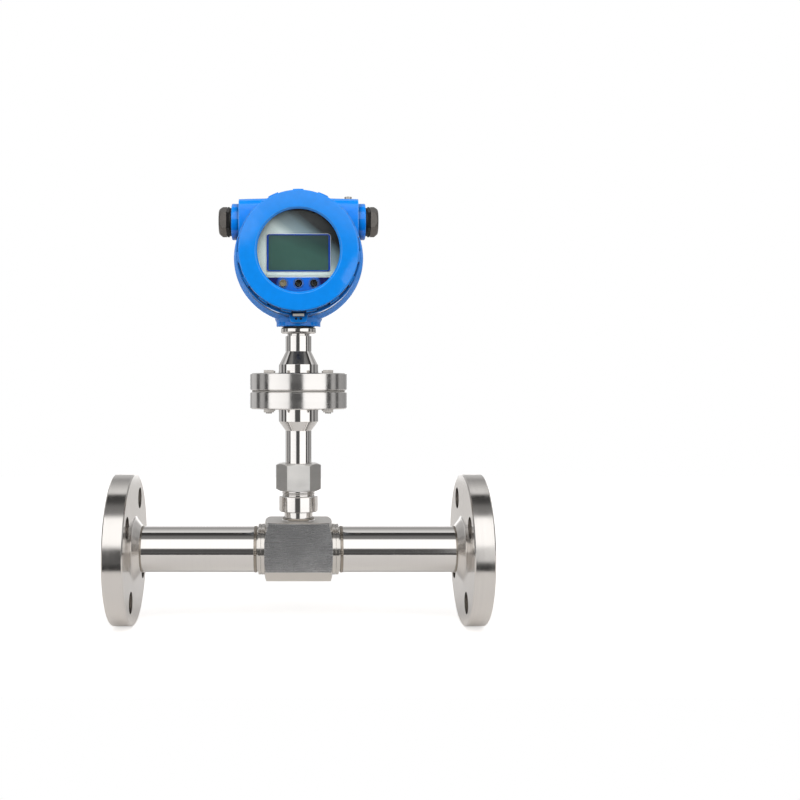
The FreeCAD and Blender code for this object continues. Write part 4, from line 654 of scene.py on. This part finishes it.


# Housing and covers: die-cast aluminium with a thick, glossy blue powder coat baked on. The covers
# screw on. Painted shade darkens the seams and inner corners; a painted highlight lightens outer edges.

PEEL_MM = 1.6             # orange-peel ripple of the coat
PEEL_DEEP_MM = 0.03
COAT_EDGE_MM = 0.7        # radius that the coat gives every edge
CAST_MM = 7.0             # slow unevenness of the casting under it
SEAM_MM = 8.0             # how far out of a seam or inner corner its painted shade reaches
SEAM_OPEN = (0.4, 0.92)   # share of open space at a point where that painted shade is full, and ends
SEAM_SHADE = 0.22         # share of its tone that the coat keeps where the painted shade is full
EDGE_HIGHLIGHT_MM = 1.8             # width of the painted highlight on each side of an outer edge
EDGE_HIGHLIGHT_BEND = (0.985, 0.86) # cosine between the rounded and the true normal where the painted highlight begins, and is full
EDGE_HIGHLIGHT_OPEN = (0.85, 1.0)   # only edges that stand this free get the painted highlight
EDGE_HIGHLIGHT_MOST = 0.6
COAT_ROUGH = 0.09

# Powder coat: deep even blue under a wet-looking gloss, rounded over every edge, with a painted
# highlight along each and painted shade in the seams.
blue_coat, tree, output = material("glossy_blue_powder_coat")
here = add(tree, "ShaderNodeTexCoord").outputs["Object"]
peel = add(tree, "ShaderNodeTexNoise", {"Vector": here, "Scale": 1 / (PEEL_MM * MM), "Detail": 2.0})
cast = add(tree, "ShaderNodeTexNoise", {"Vector": here, "Scale": 1 / (CAST_MM * MM), "Detail": 3.0})
height = add(tree, "ShaderNodeMix", {0: 0.5, 2: peel.outputs[0], 3: cast.outputs[0]}, data_type="FLOAT")
soft_edge = add(tree, "ShaderNodeBevel", {"Radius": COAT_EDGE_MM * MM}, samples=8)
bump = add(tree, "ShaderNodeBump", {
    "Height": height.outputs[0], "Distance": PEEL_DEEP_MM * MM, "Strength": 0.5,
    "Normal": soft_edge.outputs[0],
})
shade = add(tree, "ShaderNodeMapRange", {
    0: cast.outputs[0], 1: NOISE_LOW, 2: NOISE_HIGH, 3: 0.95, 4: 1.03,
})
tint = add(tree, "ShaderNodeMix", {
    0: 1.0, 6: colour("#0892FC"), 7: shade.outputs[0],
}, data_type="RGBA", blend_type="MULTIPLY")
# Painted shade: the coat's tone darkens in seams and inner corners, where less light reaches.
inner = add(tree, "ShaderNodeAmbientOcclusion", {"Distance": SEAM_MM * MM}, samples=8)
painted_corner_shade = add(tree, "ShaderNodeMapRange", {
    0: inner.outputs["AO"], 1: SEAM_OPEN[0], 2: SEAM_OPEN[1], 3: SEAM_SHADE, 4: 1.0,
})
tint = add(tree, "ShaderNodeMix", {
    0: 1.0, 6: tint.outputs[2], 7: painted_corner_shade.outputs[0],
}, data_type="RGBA", blend_type="MULTIPLY")
# Painted highlight: the coat's tone pales along free outer edges, where they catch the light.
wide_edge = add(tree, "ShaderNodeBevel", {"Radius": EDGE_HIGHLIGHT_MM * MM}, samples=8)
straight = add(tree, "ShaderNodeVectorMath", {
    0: wide_edge.outputs[0], 1: add(tree, "ShaderNodeNewGeometry").outputs["Normal"],
}, operation="DOT_PRODUCT")
highlight_bend = add(tree, "ShaderNodeMapRange", {0: straight.outputs["Value"], 1: EDGE_HIGHLIGHT_BEND[0], 2: EDGE_HIGHLIGHT_BEND[1]})
open_edge = add(tree, "ShaderNodeMapRange", {0: inner.outputs["AO"], 1: EDGE_HIGHLIGHT_OPEN[0], 2: EDGE_HIGHLIGHT_OPEN[1]})
edge_highlight = add(tree, "ShaderNodeMath", {0: highlight_bend.outputs[0], 1: open_edge.outputs[0]}, operation="MULTIPLY")
edge_highlight = add(tree, "ShaderNodeMath", {0: edge_highlight.outputs[0], 1: EDGE_HIGHLIGHT_MOST}, operation="MULTIPLY")
tint = add(tree, "ShaderNodeMix", {
    0: edge_highlight.outputs[0], 6: tint.outputs[2], 7: colour("#8CCBFF"),
}, data_type="RGBA")
coat = add(tree, "ShaderNodeBsdfPrincipled", {
    "Base Color": tint.outputs[2], "Roughness": COAT_ROUGH, "IOR": 1.5, "Normal": bump.outputs[0],
})
# The steel under the head mirrors it as a plain grey, as the photograph's steel does.
mirrored = add(tree, "ShaderNodeBsdfPrincipled", {"Base Color": colour("#6C7076"), "Roughness": 0.6})
ray = add(tree, "ShaderNodeLightPath")
either = add(tree, "ShaderNodeMixShader", {
    0: ray.outputs["Is Glossy Ray"], 1: coat.outputs[0], 2: mirrored.outputs[0],
})
tree.links.new(either.outputs[0], output.inputs[0])
dress(blue_coat, "housing", "front_cover", "rear_cover")


# Seals: the covers' O-rings, the window's seal and the glands' washers and seals are moulded nitrile
# rubber. They lie in grooves or are pressed between the parts that they seal.

# Nitrile rubber: near black and dull, with a soft sheen.
dress(
    moulded("moulded_nitrile_rubber", "#161616", 0.55), "front_cover_oring", "rear_cover_oring",
    "window_seal", "gland_washer_left", "gland_washer_right", "gland_seal_left", "gland_seal_right",
)


# Cable glands: each has a black moulded body screwed into the housing's conduit entry, and a hexagon
# nut, nickel-plated, that is turned to press the seal round the cable.

# Nickel plate: warm grey metal, its bands blurred to an even sheen. Black nylon: dark and smooth.
dress(
    moulded("nickel_plated_gland_nut", "#76726E", 0.34, grain_mm=1.2, depth_mm=0.008, metallic=1.0),
    "gland_nut_left", "gland_nut_right",
)
dress(
    moulded("moulded_black_nylon", "#060606", 0.16, grain_mm=1.2, depth_mm=0.008, ior=1.4),
    "gland_body_left", "gland_body_right",
)


# Electronics and wiring: a resin-potted module on standoffs, the display's circuit board with its key
# switches, the terminal block, and the cable that climbs the stem from a potted feedthrough.

# Potting resin, moulded nylon and black anodised metal are all near black, with a broad low sheen;
# solder-masked board is dark green under a thin gloss; PVC cable jacket is mid grey and soft.
dress(moulded("black_potting_resin", "#1B1C1E", 0.45), "electronics_module", "sensor_feedthrough")
dress(moulded("moulded_terminal_nylon", "#1B1C1E", 0.45), "terminal_block", "key_switches")
dress(moulded("black_anodised_ring", "#1B1C1E", 0.45), "glass_retaining_ring")
dress(moulded("extruded_pvc_jacket", "#6E6E6E", 0.5), "sensor_cable")
dress(moulded("solder_masked_board", "#1D5B33", 0.35), "display_board")


# Display: a satin aluminium faceplate with a window for the screen, the screen in its blue frame, and a
# printed blue film glued on below it with holes for three moulded keys.

HEAD_Z = middle("window_glass")[2]
DISPLAY_R = (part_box("display_faceplate")[1][0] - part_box("display_faceplate")[0][0]) / 2
FINE_GRAIN_MM = 0.4       # bead-blasted and printed texture, drawn as coarse as it needs to show
PLATE_EDGE_MM = 0.25      # radius of the edges of the flat front pieces


def faced(name, tones, roughness, metallic, slope, both_ways=False):
    """Flat front piece whose tone follows a ramp over slope[0] * x + slope[1] * z + slope[2].

    x and z are counted from the display's middle in display radii, and both_ways takes |x| for x.
    """
    made, tree, output = material(name)
    here = add(tree, "ShaderNodeTexCoord").outputs["Object"]
    local = add(tree, "ShaderNodeVectorMath", {0: here, 1: (STEM_X, 0, HEAD_Z)}, operation="SUBTRACT")
    local = add(tree, "ShaderNodeVectorMath", {0: local.outputs[0], 3: 1 / DISPLAY_R}, operation="SCALE")
    split = add(tree, "ShaderNodeSeparateXYZ", {0: local.outputs[0]})
    across = split.outputs["X"]
    if both_ways:
        across = add(tree, "ShaderNodeMath", {0: across}, operation="ABSOLUTE").outputs[0]
    place = add(tree, "ShaderNodeMath", {0: across, 1: slope[0], 2: slope[2]}, operation="MULTIPLY_ADD")
    place = add(tree, "ShaderNodeMath", {
        0: split.outputs["Z"], 1: slope[1], 2: place.outputs[0],
    }, operation="MULTIPLY_ADD")
    ramp = add(tree, "ShaderNodeValToRGB", {0: place.outputs[0]})
    stops = ramp.color_ramp.elements
    stops[0].position, stops[0].color = tones[0][0], colour(tones[0][1])
    stops[1].position, stops[1].color = tones[-1][0], colour(tones[-1][1])
    for at, tone in tones[1:-1]:
        stops.new(at).color = colour(tone)
    grain = add(tree, "ShaderNodeTexNoise", {
        "Vector": here, "Scale": 1 / (FINE_GRAIN_MM * MM), "Detail": 3.0,
    })
    shade = add(tree, "ShaderNodeMapRange", {
        0: grain.outputs[0], 1: NOISE_LOW, 2: NOISE_HIGH, 3: 0.95, 4: 1.04,
    })
    tint = add(tree, "ShaderNodeMix", {
        0: 1.0, 6: ramp.outputs[0], 7: shade.outputs[0],
    }, data_type="RGBA", blend_type="MULTIPLY")
    soft_edge = add(tree, "ShaderNodeBevel", {"Radius": PLATE_EDGE_MM * MM}, samples=4)
    body = add(tree, "ShaderNodeBsdfPrincipled", {
        "Base Color": tint.outputs[2], "Roughness": roughness, "Metallic": metallic, "IOR": 1.5,
        "Normal": soft_edge.outputs[0],
    })
    tree.links.new(body.outputs[0], output.inputs[0])
    return made


# Satin anodised aluminium, with painted reflection and shade: pale and silky at the left, falling away
# to a dark mirror at the top right.
faceplate_painted_light_tones = [
    (0.0, "#F8FFFF"), (0.2, "#A4B3BC"), (0.4, "#8698A2"), (0.5, "#5F6E76"), (0.62, "#0A0F13"),
]
dress(
    faced("satin_anodised_faceplate", faceplate_painted_light_tones, 0.25, 0.2, (0.7, 0.85, -0.1)),
    "display_faceplate",
)
# Liquid crystal screen, switched off: green-grey behind smooth glass, with painted shade that darkens
# it to its top right.
screen_painted_shade_tones = [(0.0, "#415F58"), (0.5, "#42625A"), (0.7, "#2F4644"), (0.95, "#2A3F3E")]
dress(faced("screen_glass_green", screen_painted_shade_tones, 0.07, 0.0, (0.3, 0.7, 0.45)), "lcd_panel")
# Printed polyester film: bright blue between the keys, and near black blue at both ends.
film_tones = [(0.0, "#0078FA"), (0.38, "#006EEE"), (0.45, "#020A60")]
dress(faced("printed_polyester_film", film_tones, 0.14, 0.0, (1.0, 0.35, 0.2), both_ways=True), "key_label")
# Moulded frame and keys: smooth glossy plastic, one tone each.
dress(moulded("moulded_frame_blue", "#0545B4", 0.14), "lcd_frame")
dress(moulded("moulded_key_black", "#020202", 0.1, ior=1.38), "button_middle", "button_right")
dress(moulded("moulded_key_tan", "#86765E", 0.14), "button_left")


# Screen line: a thin bright plastic trim round the screen's frame, glued to the faceplate. Its section
# is a low step with a bevelled outer edge.

BEAD_PROUD = 0.8 * MM     # the faceplate's raised bead stands this far ahead of its face
BEZEL_WIDE = 0.7 * MM
BEZEL_HIGH = 0.5 * MM
BEZEL_BEVEL = 0.2 * MM
BEZEL_CORNER_R = 2.6 * MM
BEZEL_CLEAR = 0.02 * MM   # off the frame, and off the plate
CORNER_STEPS = 6          # points on each rounded corner


def rounded_ring(low, high, margin, y):
    """Upright rounded rectangle: each corner's centre + (radius + margin) * (cos angle, sin angle)."""
    angle = np.radians(np.linspace(0, 90, CORNER_STEPS)[None, :] + 90 * np.arange(4)[:, None])
    right, upper = np.array([[1], [0], [0], [1]]), np.array([[1], [1], [0], [0]])
    corner = BEZEL_CORNER_R
    x = np.where(right, high[0] - corner, low[0] + corner) + (corner + margin) * np.cos(angle)
    z = np.where(upper, high[2] - corner, low[2] + corner) + (corner + margin) * np.sin(angle)
    return np.stack([x, y + 0 * x, z], axis=-1).reshape(-1, 3)


frame_low, frame_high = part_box("lcd_frame")
plate_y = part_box("display_faceplate")[0][1] + BEAD_PROUD
loops = [
    rounded_ring(frame_low, frame_high, margin, plate_y - rise)
    for margin, rise in (
        (BEZEL_WIDE, BEZEL_CLEAR), (BEZEL_WIDE - BEZEL_BEVEL, BEZEL_HIGH),
        (BEZEL_CLEAR, BEZEL_HIGH), (BEZEL_CLEAR, BEZEL_CLEAR),
    )
]
points = np.array(loops).transpose(1, 0, 2).reshape(-1, 3)
# White plastic: the brightest line in the window, without gloss.
bezel_white = moulded("moulded_white_trim", "#FFFFFF", 0.3)
faces = tube_faces(4 * CORNER_STEPS, len(loops), True)
new_piece("screen_bezel", points, faces, bezel_white, "head")


# Key collars: each key stands in a low moulded plastic ring with rounded edges, which is glued to the
# film and guides the key.

COLLAR_WIDE = 0.5 * MM
COLLAR_HIGH = 0.35 * MM
COLLAR_PLAY = 0.15 * MM   # between key and collar
COLLAR_STEPS = 48
COLLAR_OUT = np.array([[0, 0, 0.3, 0.7, 1, 1]])            # its section, out from the bore
COLLAR_UP = np.array([[-0.02, 0.75, 1, 1, 0.75, -0.02]])   # and up from the film, in widths and heights

# Moulded plastic in a bluish grey, with a soft gloss.
collar_grey = moulded("moulded_key_collar", "#5F6B80", 0.3)
film_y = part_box("key_label")[0][1]
angle = np.linspace(0, 2 * math.pi, COLLAR_STEPS, endpoint=False)[:, None]
for place in ("left", "middle", "right"):
    key_low, key_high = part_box("button_" + place)
    bore = (key_high[0] - key_low[0]) / 2 + COLLAR_PLAY
    centre = [(key_low[0] + key_high[0]) / 2, film_y, (key_low[2] + key_high[2]) / 2]
    points = laid_round("Y", centre, -COLLAR_UP * COLLAR_HIGH, bore + COLLAR_OUT * COLLAR_WIDE, angle)
    faces = tube_faces(COLLAR_STEPS, COLLAR_OUT.size, True)
    new_piece("key_collar_" + place, points, faces, collar_grey, "head")


# Window: a round pane of toughened glass, plane on both sides. It lies on the rubber seal inside the
# front cover, and the retaining ring holds it there.

HAZE_MM = 33.33           # slow change of the thin film on the glass
HAZE_ROUGH = 0.02         # roughness where the film is thickest

# Toughened glass: clear, faintly green, with a trace of haze. It lets the studio's light through.
window_glass, tree, output = material("toughened_clear_glass")
here = add(tree, "ShaderNodeTexCoord").outputs["Object"]
haze = add(tree, "ShaderNodeTexNoise", {"Vector": here, "Scale": 1 / (HAZE_MM * MM), "Detail": 2.0})
film = add(tree, "ShaderNodeMapRange", {
    0: haze.outputs[0], 1: NOISE_LOW, 2: NOISE_HIGH, 3: 0.0, 4: HAZE_ROUGH,
})
pane = add(tree, "ShaderNodeBsdfPrincipled", {
    "Base Color": colour("#F6FBFA"), "Roughness": film.outputs[0], "IOR": 1.45,
    "Transmission Weight": 1.0,
})
through = add(tree, "ShaderNodeBsdfTransparent", {"Color": colour("#F4F9F8")})
ray = add(tree, "ShaderNodeLightPath")
shadow = add(tree, "ShaderNodeMixShader", {
    0: ray.outputs["Is Shadow Ray"], 1: pane.outputs[0], 2: through.outputs[0],
})
tree.links.new(shadow.outputs[0], output.inputs[0])
dress(window_glass, "window_glass")
